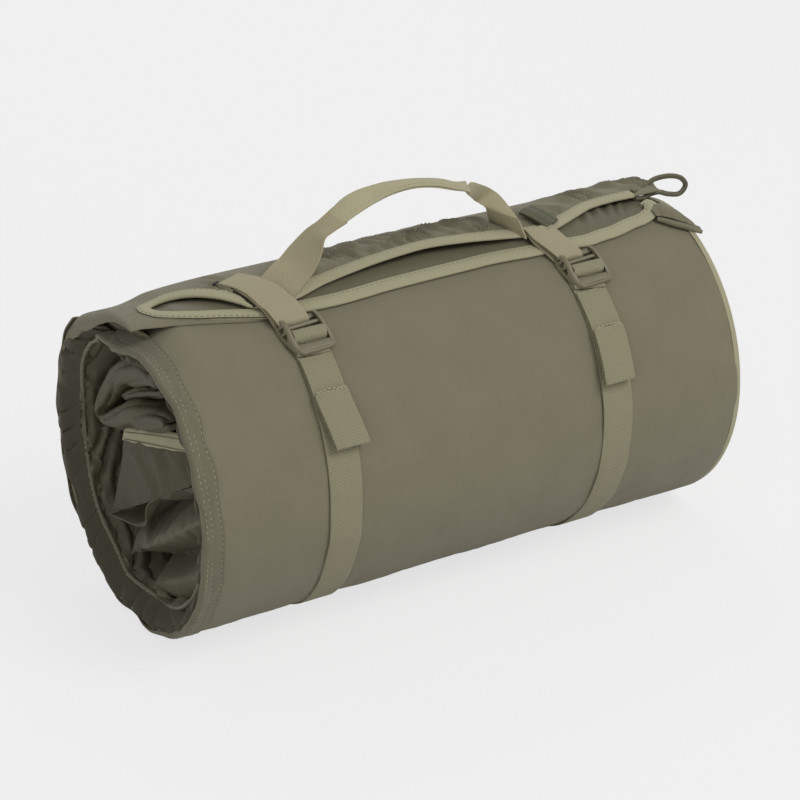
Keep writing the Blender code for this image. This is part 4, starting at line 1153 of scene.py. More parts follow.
PANEL_TOP = [(0.0115, 136, 0.0684), (0.0145, 67, 0.0592), (0.0215, 42, 0.0247)]
PANEL_LOW = [(0.0105, 225, 0.0133), (0.0118, 262, 0.0520), (0.0125, 283, 0.0780), (0.0185, 16, 0.0251)]
PANEL_ROWS = 30
PANEL_COLUMNS = 34
POCKET_TAPE = [(0.0118, 0.0009), (0.0114, 0.0017), (0.0060, 0.0021), (0.0006, 0.0019), (-0.0010, 0.0006),
               (-0.0010, -0.0006), (0.0004, -0.0013), (0.0100, -0.0012)]
FOLDS = [
    [(0.0385, 226, 0.0154), (0.0440, 261, 0.0666), (0.0385, 4, 0.0295)],
    [(0.0110, 250, 0.0144), (0.0135, 297, 0.0488), (0.0185, 356, 0.0194)],
    [(0.0395, 259, 0.0173), (0.0440, 293, 0.0354), (0.0395, 340, 0.0142)],
    [(0.0125, 273, 0.0086), (0.0155, 300, 0.0211), (0.0185, 335, 0.0069)],
    [(0.0245, 279, 0.0012), (0.0265, 295, 0.0012), (0.0245, 317, 0.0012)],
]
FOLD_STEPS = [11, 11, 9, 9, 7]
FOLD_COLUMNS = 40


def in_mouth(x, theta, inset):
    """Point in the left mouth, x in from the roll's end and inset from the mat's inner face."""
    psi = (theta - FREE_END_DEG) % 360
    radius = float(wound_radius(psi) * fit_to_outline(theta)) - HALF_SPACING - PAD - inset
    a = math.radians(theta)
    return np.array([ROLL_LEFT + x, -radius * math.cos(a), AXIS_HEIGHT + radius * math.sin(a)])


def row_through(points, count):
    return curve_through([in_mouth(*at) for at in points], count)


def make_pocket(looks):
    top = row_through(PANEL_TOP, PANEL_COLUMNS)
    low = row_through([PANEL_LOW[0], *PANEL_LOW[2:]], PANEL_COLUMNS)
    t, v = np.linspace(0, 1, PANEL_ROWS)[:, None], np.linspace(0, 1, PANEL_COLUMNS)[None]
    grid = mix(top[None], low[None], t[..., None])
    grid[..., 0] -= 0.0028 * (np.sin(math.pi * t) * np.sin(math.pi * v))
    grid = crumple(grid, pinned(grid.shape[:2], (*range(7), -1), (-1,)), 0.035, 0.0030, 1.5)
    panel = cloth("pocket_panel_cloth", grid, 0.0008, looks["inside"])
    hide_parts("pocket_panel")
    down = unit(grid[5] - grid[0])
    front = np.array([-1.0, 0.0, 0.0])
    rings = np.array([[p + d * a + front * b for a, b in POCKET_TAPE] for p, d in zip(grid[0], down)])
    rings[..., 2] += (0.0005 * edge_noise(np.arange(PANEL_COLUMNS) * 0.003, 0.2))[:, None]
    tape = tube("pocket_binding", rings, looks["tape"])
    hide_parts("pocket_tape")
    for name, along in (("pocket_upper_stitching", 0.0022), ("pocket_lower_stitching", 0.0096)):
        path = grid[0] + down * along + front * 0.0022
        stitches(name, path[1:-1], front, looks["dark_thread"], POCKET_STITCH)


def make_folds(looks):
    rows = np.array([row_through(row, FOLD_COLUMNS) for row in [PANEL_LOW, *FOLDS]])
    grid = []
    for k, step in enumerate(FOLD_STEPS):
        grid.extend(mix(rows[k], rows[k + 1], t) for t in np.linspace(0, 1, step, endpoint=False))
    grid = np.array([*grid, rows[-1]])
    grid[0] += (0.0006, 0.0, -0.0012)
    grid[1:-1] = 0.5 * grid[1:-1] + 0.25 * (grid[:-2] + grid[2:])
    pins = pinned(grid.shape[:2], (0, -1), (-1,))
    pins[np.cumsum(FOLD_STEPS)[:3], ::5] = 1
    piece = cloth("accordion_folds", crumple(grid, pins, 0.045, 0.0024, 1.0), 0.0008, looks["lining"])
    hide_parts("gathered_folds")


BUNDLE = {
    "rolled_gusset_main": (0.0100, [
        (-0.0340, 0.1975, 0.0040), (-0.0050, 0.1955, 0.0110), (0.0180, 0.1865, 0.0115), (0.0380, 0.1775, 0.0100),
        (0.0560, 0.1610, 0.0085), (0.0690, 0.1450, 0.0080), (0.0760, 0.1335, 0.0065), (0.0700, 0.1290, 0.0040)]),
    "rolled_gusset_flap": (0.0106, [
        (0.0760, 0.1290, 0.0040), (0.0600, 0.1322, 0.0085), (0.0400, 0.1415, 0.0110), (0.0200, 0.1520, 0.0115),
        (-0.0100, 0.1600, 0.0110), (-0.0400, 0.1720, 0.0080)]),
    "rolled_gusset_core": (0.0180, [
        (0.0440, 0.1560, 0.0080), (0.0300, 0.1640, 0.0060), (0.0080, 0.1740, 0.0050), (-0.0300, 0.1890, 0.0040)]),
}
BUNDLE_DEPTH = 0.0340


def puffy_roll(name, front, line, looks):
    """A limp roll of cloth along a line of (y, z, half width), its round front in the mouth."""
    count, sides = 110, 44
    centre = curve_through(line, count)
    half = np.maximum(centre[:, 2], 0.0015)
    yz = centre[:, :2]
    tangent = unit(np.gradient(yz, axis=0))
    normal = np.column_stack([-tangent[:, 1], tangent[:, 0]])
    a = round_angles(sides)[None]
    c, d = np.cos(a), np.sin(a)
    inward = BUNDLE_DEPTH / 2 * (1 - rounded(c, 0.75))
    run = run_length(yz)[:, None]
    length = run[-1, 0]
    swell = np.sin(math.pi * np.clip(run / length, 0, 1)) ** 0.25
    slow = gusset_slow(run, a * 0.012)
    crease = np.abs(np.sin(math.pi * (6.0 * a / (2 * math.pi) + run / 0.080 + 0.38 * slow))) ** 0.6 - 0.6
    puckers = bump(run - 0.55 * length, 0.030) * np.sin(2 * math.pi * run / 0.009 + 2.0 * slow)
    wrinkle = 0.0016 * crease + 0.0003 * gusset_noise(run, a * 0.012) + 0.0004 * puckers
    across = half[:, None] * swell * rounded(d, 0.8) + wrinkle * rounded(d, 0.5)
    rings = np.zeros((count, sides, 3))
    rings[..., 0] = ROLL_LEFT + front + inward - 0.0016 * crease * (c > 0)
    rings[..., 1:] = yz[:, None] + normal[:, None] * across[..., None]
    piece = tube(name, rings, looks["roll"])
    return piece, rings


def make_bundle(looks):
    for name, (front, line) in BUNDLE.items():
        piece, rings = puffy_roll(name, front, line, looks)
        if name == "rolled_gusset_main":
            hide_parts("rolled_gusset")
        if name == "rolled_gusset_flap":
            shown = rings[8:-4]
            path = shown[:, shown.shape[1] // 4 - 4]
            up = unit(path - shown.mean(axis=1))
            stitches("rolled_gusset_stitching", path, up, looks["thread"], BUNDLE_STITCH, lift=0.0002)


# Right end


def make_right_end(looks):
    """The tapes folded over the right edges of both halves, all along the winding."""
    psi = np.arange(PADS_START_DEG, WIND_END_DEG + 0.1, 3.0)[:, None]
    half = PAD / 2 + 0.0005
    angles = np.linspace(-math.pi / 2, math.pi / 2, 9)
    bend = [(0.0012 * math.cos(a) - 0.0004, -half * math.sin(a)) for a in angles]
    for inner in (False, True):
        right = ROLL_RIGHT - 0.0011 - (0.0030 if inner else 0.0)
        leg = 0.0024 if inner else 0.0042
        outline = [(-leg, half), (-leg / 2, half), *bend, (-leg / 2, -half)]
        if not inner:
            outline.append((-leg, -half))
        x, up = np.array(outline).T
        points = at_depth(right + x[None], psi, (HALF_SPACING if inner else 0.0) + PAD / 2 - up[None])
        which = "inner_half" if inner else "outer_half"
        tape = cloth(which + "_binding", points, 0.0006, looks["tape"])
        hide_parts(which + "_right_tape")


CORNER_FLAP = [
    (0.2000, -1.2, 3.2), (0.2038, -2.5, 6.6), (0.2080, -4.3, 8.5), (0.2122, -5.9, 6.5), (0.2170, -7.5, 3.0),
    (0.2200, -8.5, -2.4), (0.2245, -9.8, -6.2), (0.2285, -11.0, -9.6),
]
FLAP_ROWS = 34
FLAP_COLUMNS = 16


def make_corner_flap(looks):
    line = curve_through(CORNER_FLAP, FLAP_ROWS)
    v = np.linspace(0, 1, FLAP_COLUMNS)
    grid = []
    for k, (x, front, rear) in enumerate(line):
        body = math.sin(math.pi * mix(0.16, 0.93, k / (FLAP_ROWS - 1))) ** 0.6
        tip = 1 - smooth((k - 22) / 11)
        puff = 0.0022 * (1 - v) + 0.0052 * body * np.sin(math.pi * (0.12 + 0.86 * v)) ** 0.8
        lift = 0.0012 + mix(0.15, 1.0, tip) * puff + 0.0004 * gusset_noise(x, v * 0.02)
        grid.append(on_top(np.full(FLAP_COLUMNS, x), mix(front, rear, v), lift))
    grid = crumple(np.array(grid), pinned((FLAP_ROWS, FLAP_COLUMNS), (0, -1), (0, -1)), 0.04, 0.0010, 1.0)
    flap = cloth("corner_flap_cloth", grid, 0.0016, looks["shell"])
    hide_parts("corner_flap")
    k = np.arange(FLAP_ROWS)
    edge = on_top(line[:, 0], line[:, 1] - 0.8, 0.0014 + 0.0018 * (1 - smooth((k - 20) / 13)))
    size = 0.0024 * np.clip(np.sin(math.pi * np.linspace(0.07, 0.93, FLAP_ROWS)), 0, 1) ** 0.30
    hem = tube("corner_flap_hem", round_rings(edge, size, 12), looks["shell"])


# Free end: lower layer and bindings

TAPE_WIDTH = 0.0095
UPPER_TAPE = 0.0078
TAPE_THICK = 0.0007
TAPE_CHANNEL = 0.00065


def lower_height(x, psi):
    """Height of the lower layer, which shows in the openings."""
    edge_psi = LOWER_FREE.psi(x)
    rear = WRAP_PITCH * fit_to_outline(FREE_END_DEG + REACH_FULL_DEG) - HALF_SPACING - PAD / 2
    t = np.clip((psi - edge_psi - 3.9) / (REACH_FULL_DEG - edge_psi - 3.9), 0, 1)
    rising = mix(0.0019, rear, 1 - (1 - t) ** 4.0)
    return np.minimum(rising, np.maximum(cover_height(x, psi) - 0.0028, 0.0019))


def make_lower_layer(looks):
    x = np.linspace(-0.2040, 0.2020, 170)
    t = np.linspace(0, 1, 44)[:, None]
    start = np.where(x < -0.130, np.minimum(LOWER.psi(x) - 2.0, 14.0), LOWER_FREE.psi(x))
    psi = mix(start[None], 61.0, t)
    behind = np.radians(psi - start[None]) * OUTLINE_RADIUS
    wrinkle = np.sin(2 * math.pi * (x[None] - 0.3 * behind) / 0.0125 + 1.5 * ripple_noise(x[None], behind))
    right_side = smooth((x - 0.128) / 0.02) * (1 - smooth((x - 0.183) / 0.012))
    deep = smooth((behind - 0.0100) / 0.008) * (1 - smooth((behind - 0.03) / 0.02))
    lift = lower_height(x[None], psi) + wrinkle * 0.0013 * right_side[None] * deep
    layer = cloth("lower_layer", on_top(x[None], psi, lift), 0.0008, looks["lining"])
    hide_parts("inner_half_end_hem")


def tape_profile(width):
    """U-shaped section (inward, up) of a tape folded over an edge, rounded at the rim."""
    a = np.linspace(math.radians(90), math.radians(270), 9)
    half = TAPE_CHANNEL + TAPE_THICK
    outer = [(-0.0002 + half * math.cos(v) * 0.9, half * math.sin(v)) for v in a]
    inner = [(0.0001 + TAPE_CHANNEL * math.cos(v), TAPE_CHANNEL * math.sin(v)) for v in reversed(a)]
    top = [(width, half - 0.0003), (width * 0.82, half - 0.00035), (width * 0.74, half),
           (width * 0.35, half + 0.0002)]
    low = [(width * 0.4, -half), (width, -half)]
    return np.array(top + outer + low + [(width, -TAPE_CHANNEL)] + inner + [(width, TAPE_CHANNEL)])


def binding(name, rim, inward, up, width, looks):
    """A tape folded over a rim."""
    profile = tape_profile(width)
    rings = rim[:, None] + inward[:, None] * profile[None, :, 0, None]
    rings = rings + up[:, None] * profile[None, :, 1, None]
    return tube(name, rings, looks["tape"], "mat", flat_uv(run_length(profile)[None], run_length(rim)))


def binding_seam(name, rim, inward, up, width, looks):
    """The row of stitches that holds a tape on its rim."""
    seam = rim + inward * width * 0.80 + up * 0.00105
    stitches(name, seam[6:-3], up[6:-3], looks["dark_thread"], BINDING_STITCH)


def rim_frames(rim_line):
    """Points, directions in over the cloth, out from the roll and along, of a line (x, psi, height)."""
    x, psi, height = rim_line.T
    rim = on_top(x, psi, height)
    out = unit(on_top(x, psi, height + 0.01) - rim)
    along = unit(np.gradient(rim, axis=0))
    inward = unit(np.cross(along, out))
    if inward[len(rim) // 2, 1] < 0:
        inward = -inward
    return rim, inward, out, along


def make_upper_binding(looks):
    line = curve_through(LOWER_RIM[:0:-1] + UPPER_RIM, 420)
    rim, inward, out, along = rim_frames(line)
    behind = rim + inward * (UPPER_TAPE + 0.001)
    reach_psi = psi_at(behind[:, 1], behind[:, 2] - AXIS_HEIGHT)
    target = on_top(behind[:, 0], reach_psi, cover_height(behind[:, 0], reach_psi) + 0.0002)
    on_upper = smooth((np.arange(len(line)) - np.argmin(line[:, 0]) - 4) / 20)
    inward = unit(mix(inward, unit(target - rim), on_upper[:, None]))
    up = unit(np.cross(along, inward))
    up = np.where((up * out).sum(-1, keepdims=True) < 0, -up, up)
    band = binding("upper_binding", rim, inward, up, UPPER_TAPE, looks)
    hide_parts("outer_half_end_tape")
    binding_seam("upper_binding_stitching", rim, inward, up, UPPER_TAPE, looks)


def make_lower_binding(looks):
    rim, inward, out, _ = rim_frames(curve_through(LOWER_EDGE[1:-1] + LOWER_CORNER, 420))
    inward = unit(eased(inward, 9))
    band = binding("lower_binding", rim, inward, out, TAPE_WIDTH, looks)
    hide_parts("inner_half_end_tape")
    binding_seam("lower_binding_stitching", rim, inward, out, TAPE_WIDTH, looks)


# Straps

STRAP_ROOT_PSI = 37.0
BUCKLE_DEG = {"left": 60.0, "right": 58.9}


def strap_relief(side, psi):
    """How far the cover stands off the even spiral along the middle of a strap."""
    return cover_relief(np.full(psi.shape, STRAP_X[side]), np.minimum(psi, 330.0))


def strap_point(side, theta, lift):
    """Point on a strap's middle line, at a height over the cover."""
    psi = np.asarray(theta, float) - FREE_END_DEG
    psi = np.where(psi < STRAP_ROOT_PSI - 1, psi + 360, psi)
    return at_depth(np.full(psi.shape, STRAP_X[side]), psi, -(strap_relief(side, psi) + lift))


def make_strap(side, looks):
    psi = np.arange(STRAP_ROOT_PSI, BUCKLE_DEG[side] - FREE_END_DEG + 360, 1.0)
    x = STRAP_X[side] + 0.0006 * np.sin(np.radians(psi) * 2.3)
    centre = at_depth(x, psi, -(strap_relief(side, psi) + 0.0010))
    centre[:, 2] = np.maximum(centre[:, 2], WEB_THICK / 2)
    piece = ribbon(side + "_strap_webbing", centre, (1, 0, 0), WEB_WIDTH, WEB_THICK, looks["webbing"])
    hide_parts(side + "_strap")


# Tails: seam and end as angles, then how far each hangs aside and how wide it is

SEAM_DEG = {"left": 39.8, "right": 37.2}
TAB_END_DEG = {"left": 19.5, "right": 16.9}
TAIL = {"left": (1.5, 2.0, 0.0045, 0.0262), "right": (1.4, 2.0, -0.0020, 0.0256)}
TAIL_LIFT = 0.0036
TAIL_HANG = 0.0035
TAIL_ASIDE = 0.0006
FOLD_RADIUS = 0.0012
TAIL_BEND_DEG = {"left": 50.5, "right": 47.9}
TAIL_BEND_SPAN = np.array([0.8, -1.6])
TACK_COUNT = 14
TACK_HALF = 0.0112


def tail_route(side, seam, end):
    """(theta, height over the cover) from the buckle's front bar down, round the fold and up again."""
    start = BUCKLE_DEG[side] - 7.4
    upper = [(theta, mix(0.0027, TAIL_LIFT, (start - theta) / (start - seam)))
             for theta in np.linspace(start, seam, 12)]
    lower = [(mix(seam, end, t), TAIL_LIFT + TAIL_HANG * t ** 1.6) for t in np.linspace(0, 1, 14)[1:]]
    tip = TAIL_LIFT + TAIL_HANG
    turn = [(end - arc_deg(FOLD_RADIUS * math.sin(a)), tip + FOLD_RADIUS * (1 - math.cos(a)))
            for a in np.linspace(0, math.pi, 9)[1:-1]]
    folded = [(theta, lift + 2 * FOLD_RADIUS) for theta, lift in reversed(lower)]
    return evenly(upper + lower + turn + folded, 0.45)


def make_tail(side, looks):
    """The strap's tail: one web that hangs from the buckle and is folded up on itself."""
    up_seam, up_end, sideways, wide = TAIL[side]
    seam, end = SEAM_DEG[side] + up_seam, TAB_END_DEG[side] + up_end
    theta, lift = tail_route(side, seam, end).T
    centre = strap_point(side, theta, lift)
    t = np.clip((seam - theta) / (seam - end), 0, 1)
    centre[:, 0] += TAIL_ASIDE + sideways * t ** 1.5
    width = mix(WEB_WIDTH, wide, smooth(t * 6))
    piece = ribbon(side + "_tail_webbing", centre, (1.0, 0.0, 0.0), width, WEB_THICK, looks["webbing"], None)
    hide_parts(side + "_tail", side + "_tail_pull")
    bend = strap_point(side, TAIL_BEND_DEG[side] + TAIL_BEND_SPAN, 0.0030)
    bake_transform(piece)
    make_bar_tack(side, seam, looks)


def make_bar_tack(side, seam, looks):
    """The zigzag of thread that holds the tail's fold."""
    k = np.arange(TACK_COUNT)
    theta = seam - 0.9 - 0.9 * (k % 2)
    path = strap_point(side, theta, TAIL_LIFT + 2 * FOLD_RADIUS + WEB_THICK / 2 + 0.0002)
    path[:, 0] += TAIL_ASIDE + mix(-TACK_HALF, TACK_HALF, k / (TACK_COUNT - 1))
    up = unit(strap_point(side, theta, 0.01) - strap_point(side, theta, 0.0))
    tack = stitches(side + "_bar_tack", path, up, looks["thread"], TACK_STITCH, side + "_tail")
    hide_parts(side + "_tail_stitching")


# Buckles: places are (across, along the web to the rear, out from the roll)

REAR_BAR = (0.0140, 0.0036)
MIDDLE_BAR = (0.0020, 0.0054)
BUCKLE_BAR = 0.0015
BUCKLE_SHIFT = {"left": 0.0022, "right": 0.0046}
BUCKLE_TURN = math.radians(6.5)
ARM_STATIONS = [
    (0.0164, 0.0030, 0.0056, 0.0154), (0.0158, 0.0012, 0.0074, 0.0158), (0.0140, 0.0002, 0.0088, 0.0162),
    (0.0105, -0.0004, 0.0094, 0.0165), (0.0060, -0.0002, 0.0092, 0.0167), (0.0015, 0.0004, 0.0085, 0.0168),
    (-0.0025, 0.0011, 0.0076, 0.0166), (-0.0064, 0.0018, 0.0068, 0.0161), (-0.0096, 0.0021, 0.0064, 0.0154),
    (-0.0117, 0.0024, 0.0062, 0.0147), (-0.0128, 0.0030, 0.0056, 0.0140),
]
ARM_WIDTH = 0.0036
ARM_SLANT = 0.42
CUT_OUTS = [
    [(0.0148, 0.0034), (0.0114, 0.0032), (0.0122, 0.0078)],
    [(0.0104, 0.0026), (0.0064, 0.0028), (0.0066, 0.0064), (0.0096, 0.0080)],
    [(0.0053, 0.0026), (-0.0006, 0.0032), (0.0006, 0.0054), (0.0040, 0.0074)],
]
FRONT_RIM = [(-0.0140, -0.0098), (-0.0136, -0.0118), (-0.0121, -0.0132), (-0.0094, -0.0137), (0.0, -0.0139),
             (0.0094, -0.0137), (0.0121, -0.0132), (0.0136, -0.0118), (0.0140, -0.0098)]
THREADED_ROUTE = [
    (0.0022, 0.0013), (0.0040, 0.0018), (0.0046, 0.0040), (0.0042, 0.0066), (0.0026, 0.0082),
    (0.0000, 0.0086), (-0.0024, 0.0078), (-0.0039, 0.0060), (-0.0045, 0.0040), (-0.0054, 0.0025),
    (-0.0076, 0.0020), (-0.0104, 0.0021), (-0.0128, 0.0024), (-0.0150, 0.0026),
]


def buckle_frame(side):
    theta = BUCKLE_DEG[side]
    origin = at_depth(0.0, theta - FREE_END_DEG + 360, 0.0)
    a = math.radians(theta)
    rearward = np.array([0.0, math.sin(a), math.cos(a)])
    outward = np.array([0.0, -math.cos(a), math.sin(a)])
    return origin, rearward, outward


def place_in_buckle(side, points):
    """World points of (across, s, n) in a buckle, which lies slightly turned on its web."""
    origin, rearward, outward = buckle_frame(side)
    p = np.asarray(points, float)
    c, d = math.cos(BUCKLE_TURN), math.sin(BUCKLE_TURN)
    across = p[..., 0] * c - p[..., 1] * d + STRAP_X[side] + BUCKLE_SHIFT[side]
    s = p[..., 1] * c + p[..., 0] * d * 0.5
    out = origin + rearward * s[..., None] + outward * p[..., 2, None]
    out[..., 0] = across
    return out


def rounded_box_ring(low_a, high_a, low_n, high_n, s, sides=20, power=3.6):
    a = round_angles(sides)
    ring = np.zeros((sides, 3))
    ring[:, 0] = (low_a + high_a) / 2 + (high_a - low_a) / 2 * rounded(np.cos(a), 2 / power)
    ring[:, 1] = s
    ring[:, 2] = (low_n + high_n) / 2 + (high_n - low_n) / 2 * rounded(np.sin(a), 2 / power)
    return ring


def buckle_arm(side, sign, looks):
    """One side arm, with the three cut-outs that lighten it."""
    rings = []
    for s, low, high, outer in curve_through(ARM_STATIONS, 46):
        a, b = sorted((sign * (outer - ARM_WIDTH), sign * outer))
        ring = rounded_box_ring(a, b, low, high, s)
        ring[:, 0] += sign * ARM_SLANT * ((low + high) / 2 + 0.0012 - ring[:, 2])
        rings.append(ring)
    bare = (looks["plastic"][0], None)
    arm = tube("arm", place_in_buckle(side, np.array(rings)), bare, None)
    for corners in CUT_OUTS:
        rings = np.array([[(at, s, n) for s, n in corners] for at in (sign * 0.0100, sign * 0.0230)])
        cut(arm, tube("cutter", place_in_buckle(side, rings), bare, None))
    return arm


def bar_rings(half, s, n, radius_s, radius_n, power=2.0):
    """A bar across the buckle, at (s, n), of a round or squared section."""
    angle = round_angles(16)
    rings = np.zeros((13, 16, 3))
    rings[..., 0] = np.linspace(-half, half, 13)[:, None]
    rings[..., 1] = s + radius_s * rounded(np.cos(angle), 2 / power)
    rings[..., 2] = n + radius_n * rounded(np.sin(angle), 2 / power)
    return rings


def front_rim_rings():
    """The buckle's front wall, along its line seen from above."""
    rim = curve_through(FRONT_RIM, 44)
    tangent = unit(np.gradient(rim, axis=0))
    normal = np.column_stack([-tangent[:, 1], tangent[:, 0]])
    angle = round_angles(12)
    u = 0.0009 * rounded(np.cos(angle), 0.7)
    n = 0.0043 + 0.0022 * rounded(np.sin(angle), 0.7)
    flat = rim[:, None] + normal[:, None] * u[None, :, None]
    return np.concatenate([flat, np.broadcast_to(n[None, :, None], (len(rim), 12, 1))], -1)


def make_buckle(side, looks):
    """A ladder buckle: two side arms, three bars, a flat lip and the front wall."""
    bare = (looks["plastic"][0], None)
    parts = [buckle_arm(side, sign, looks) for sign in (-1, 1)]
    shapes = {
        "bar": [bar_rings(0.0142, *REAR_BAR, BUCKLE_BAR, BUCKLE_BAR),
                bar_rings(0.0142, 0.0082, 0.0060, 0.0014, 0.0012),
                bar_rings(0.0142, *MIDDLE_BAR, BUCKLE_BAR, BUCKLE_BAR),
                bar_rings(0.0130, -0.0100, 0.0050, 0.0028, 0.0009, 3.5)],
        "rim": [front_rim_rings()],
    }
    for name, found in shapes.items():
        parts.extend(tube(name, place_in_buckle(side, rings), bare, None) for rings in found)
    piece = join(side + "_buckle_frame", parts, looks["plastic"], side + "_buckle")
    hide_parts(side + "_buckle")


def make_threaded(side, looks):
    line = curve_through(THREADED_ROUTE, 70)
    points = np.column_stack([np.zeros(len(line)), line])
    centre = place_in_buckle(side, points)
    centre[:, 0] = STRAP_X[side] + BUCKLE_SHIFT[side] * smooth((line[:, 0] + 0.018) / 0.02)
    piece = ribbon(side + "_threaded_webbing", centre, (1, 0, 0), WEB_WIDTH, WEB_THICK, looks["webbing"],
                   side + "_buckle")
    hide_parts(side + "_threaded_web")


# Loops of web over the tapes. Each edge is a row of (y, left x, right x).

LOOP_EDGES = {
    "left": [(-0.0580, -0.1296, -0.1036), (-0.0500, -0.1312, -0.1052), (-0.0415, -0.1342, -0.1076),
             (-0.0297, -0.1390, -0.1118), (-0.0123, -0.1450, -0.1185), (0.0090, -0.1548, -0.1288)],
    "right": [(-0.0580, 0.1008, 0.1222), (-0.0500, 0.0982, 0.1210), (-0.0431, 0.0952, 0.1180),
              (-0.0301, 0.0884, 0.1128), (-0.0180, 0.0880, 0.1120), (0.0020, 0.0890, 0.1120)],
}
LOOP_REAR_PSI = {"left": 16.5, "right": 5.6}
LOOP_REAR = 0.0014
LOOP_OVER = 0.0042
LOOP_STEP = 0.0018


def loop_point(side, t, drop=0.0):
    """(y, z) of the loop over the tapes, t of the way from its root to the upper rim."""
    x = STRAP_X[side]
    psi = mix(LOOP_REAR_PSI[side], float(UPPER.psi(x)), t)
    lift = mix(LOOP_REAR, LOOP_OVER, float(smooth(t * 1.3))) - drop
    return on_top(0.0, psi, cover_height(x, psi) + lift)[1:]


def loop_line(side):
    """(y, z) along the loop: over the tapes, round the buckle's rear bar and back underneath."""
    x = STRAP_X[side]
    origin, rearward, outward = buckle_frame(side)
    upper_psi = float(UPPER.psi(x))
    rim_height = cover_height(x, upper_psi) + LOOP_OVER - 0.0006
    over = [loop_point(side, t) for t in np.linspace(0, 1, 7)]
    over.append(on_top(0.0, upper_psi - 3.0, rim_height)[1:])
    before = on_top(0.0, upper_psi - 2.0, rim_height - LOOP_STEP)[1:]
    under = [loop_point(side, t, LOOP_STEP) for t in np.linspace(0.85, 0, 5)]
    bend = BUCKLE_BAR + WEB_THICK / 2 + 0.0002
    around = []
    for k in range(9):
        a = math.radians(90 + 180 * k / 8)
        s, n = REAR_BAR[0] + bend * math.cos(a), REAR_BAR[1] + bend * math.sin(a)
        around.append((origin + rearward * s + outward * n)[1:])
    return np.array(over + around + [before] + under)


def make_loop(side, looks):
    line = evenly(curve_through(loop_line(side), 160), 0.0012)
    y, left, right = np.array(sorted(LOOP_EDGES[side])).T
    left, right = np.interp(line[:, 0], y, left), np.interp(line[:, 0], y, right)
    centre = np.column_stack([(left + right) / 2, line])
    width = (right - left) * 0.93
    piece = ribbon(side + "_loop_webbing", centre, (1.0, 0.0, 0.0), width, WEB_THICK, looks["loop"])
    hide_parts(side + "_buckle_loop")


def painted_shade_strip(looks):
    """Painted shade under the left patch's rear left side: a dark rough strip that stands for the shadow under
    its edge.
    """
    rng = np.random.RandomState(8)
    edges = np.array(sorted(LOOP_EDGES["left"]))
    y = np.linspace(-0.0330, 0.0020, 60)
    x = np.interp(y, edges[:, 0], edges[:, 1])
    psi = psi_at(y, 0.124)
    height = cover_height(x, psi) + 0.0022
    rough = np.convolve(rng.uniform(-1, 1, 64), np.ones(5) / 5, "valid")
    reach = 0.0030 + 0.0010 + 0.0012 * rough
    rows = [on_top(x + 0.0030 - t * reach, psi, height - 0.0014 * t * t) for t in (0.0, 0.35, 0.7, 1.0)]
    # the dark strip paints the shadow under the patch's edge
    cloth("patch_edge_shade_strip", np.array(rows), 0.0014, looks["dark"])


# Handle. Its edges are pairs of a far and a near point.

HANDLE_EDGES = [
    ((-.1262, -.0095, .2448), (-.1083, -.0329, .2395)), ((-.1140, -.0091, .2548), (-.0971, -.0316, .2485)),
    ((-.1035, -.0065, .2596), (-.0897, -.0314, .2569)), ((-.0949, -.0054, .2662), (-.0836, -.0299, .2667)),
    ((-.0834, -.0073, .2764), (-.0789, -.0268, .2758)), ((-.0751, -.0105, .2827), (-.0720, -.0255, .2791)),
    ((-.0647, -.0106, .2896), (-.0608, -.0248, .2830)), ((-.0540, -.0101, .2961), (-.0515, -.0225, .2856)),
    ((-.0425, -.0097, .2991), (-.0432, -.0207, .2882)), ((-.0306, -.0091, .2997), (-.0333, -.0196, .2914)),
    ((-.0189, -.0084, .2994), (-.0223, -.0196, .2946)), ((-.0029, -.0085, .2978), (-.0085, -.0199, .2966)),
    ((.0106, -.0093, .2957), (.0044, -.0203, .2959)), ((.0241, -.0101, .2928), (.0173, -.0209, .2931)),
    ((.0374, -.0116, .2887), (.0300, -.0220, .2888)), ((.0480, -.0135, .2876), (.0390, -.0225, .2855)),
]
HANDLE_ROOT = [(-0.1362, -0.0080), (-0.1180, -0.0345)]
RIGHT_NECK = [
    ((0.0390, -0.0225, 0.2855), (0.0480, -0.0135, 0.2876)),
    ((0.0468, -0.01450, 0.2780), (0.0560, -0.0104, 0.2843)),
    ((0.06065, -0.00100, 0.2665), (0.07895, -0.00100, 0.2691)),
    ((0.06770, -0.00490, 0.2614), (0.08250, -0.02510, 0.2562)),
]
RIGHT_NECK_ROOT = ((0.0741, -0.0003, 0.2473), (0.0869, -0.0301, 0.2413))
GRIP_PROFILE = [(-0.0064, 0.0000), (-0.0062, 0.0012), (-0.0052, 0.0018), (-0.0010, 0.0017), (0.0046, 0.0017),
                (0.0058, 0.0012), (0.0060, 0.0003), (0.0050, 0.0001), (0.0050, -0.0001), (0.0060, -0.0003),
                (0.0058, -0.0012), (0.0046, -0.0017), (-0.0010, -0.0017), (-0.0052, -0.0018),
                (-0.0062, -0.0012)]
GRIP_FULL_WIDTH = 0.0128


def left_neck_grid(edges, middle):
    """The handle's left end: flat from its root under the patch up to the grip."""
    root = []
    for x, y in HANDLE_ROOT:
        psi = psi_at(y, 0.122)
        root.extend(on_top(x, psi, cover_height(x, psi) + 0.0014))
    t = np.linspace(0, 1, 12)[:-1, None]
    neck = np.concatenate([mix(np.array(root)[None], edges[:1], t), edges[middle < -0.0615]])
    return mix(neck[:, None, :3], neck[:, None, 3:], np.linspace(0, 1, 14)[None, :, None])


def right_neck_grid():
    """The handle's right end: a flat web that turns over, creased above its seam."""
    edges = curve_through([(*a, *b) for a, b in RIGHT_NECK], 34)
    crease, root = (np.concatenate(ends) for ends in (RIGHT_NECK[-1], RIGHT_NECK_ROOT))
    edges = np.concatenate([edges, mix(crease, root, np.linspace(0, 1, 12)[1:, None])])
    return mix(edges[:, None, :3], edges[:, None, 3:], np.linspace(0, 1, 12)[None, :, None])


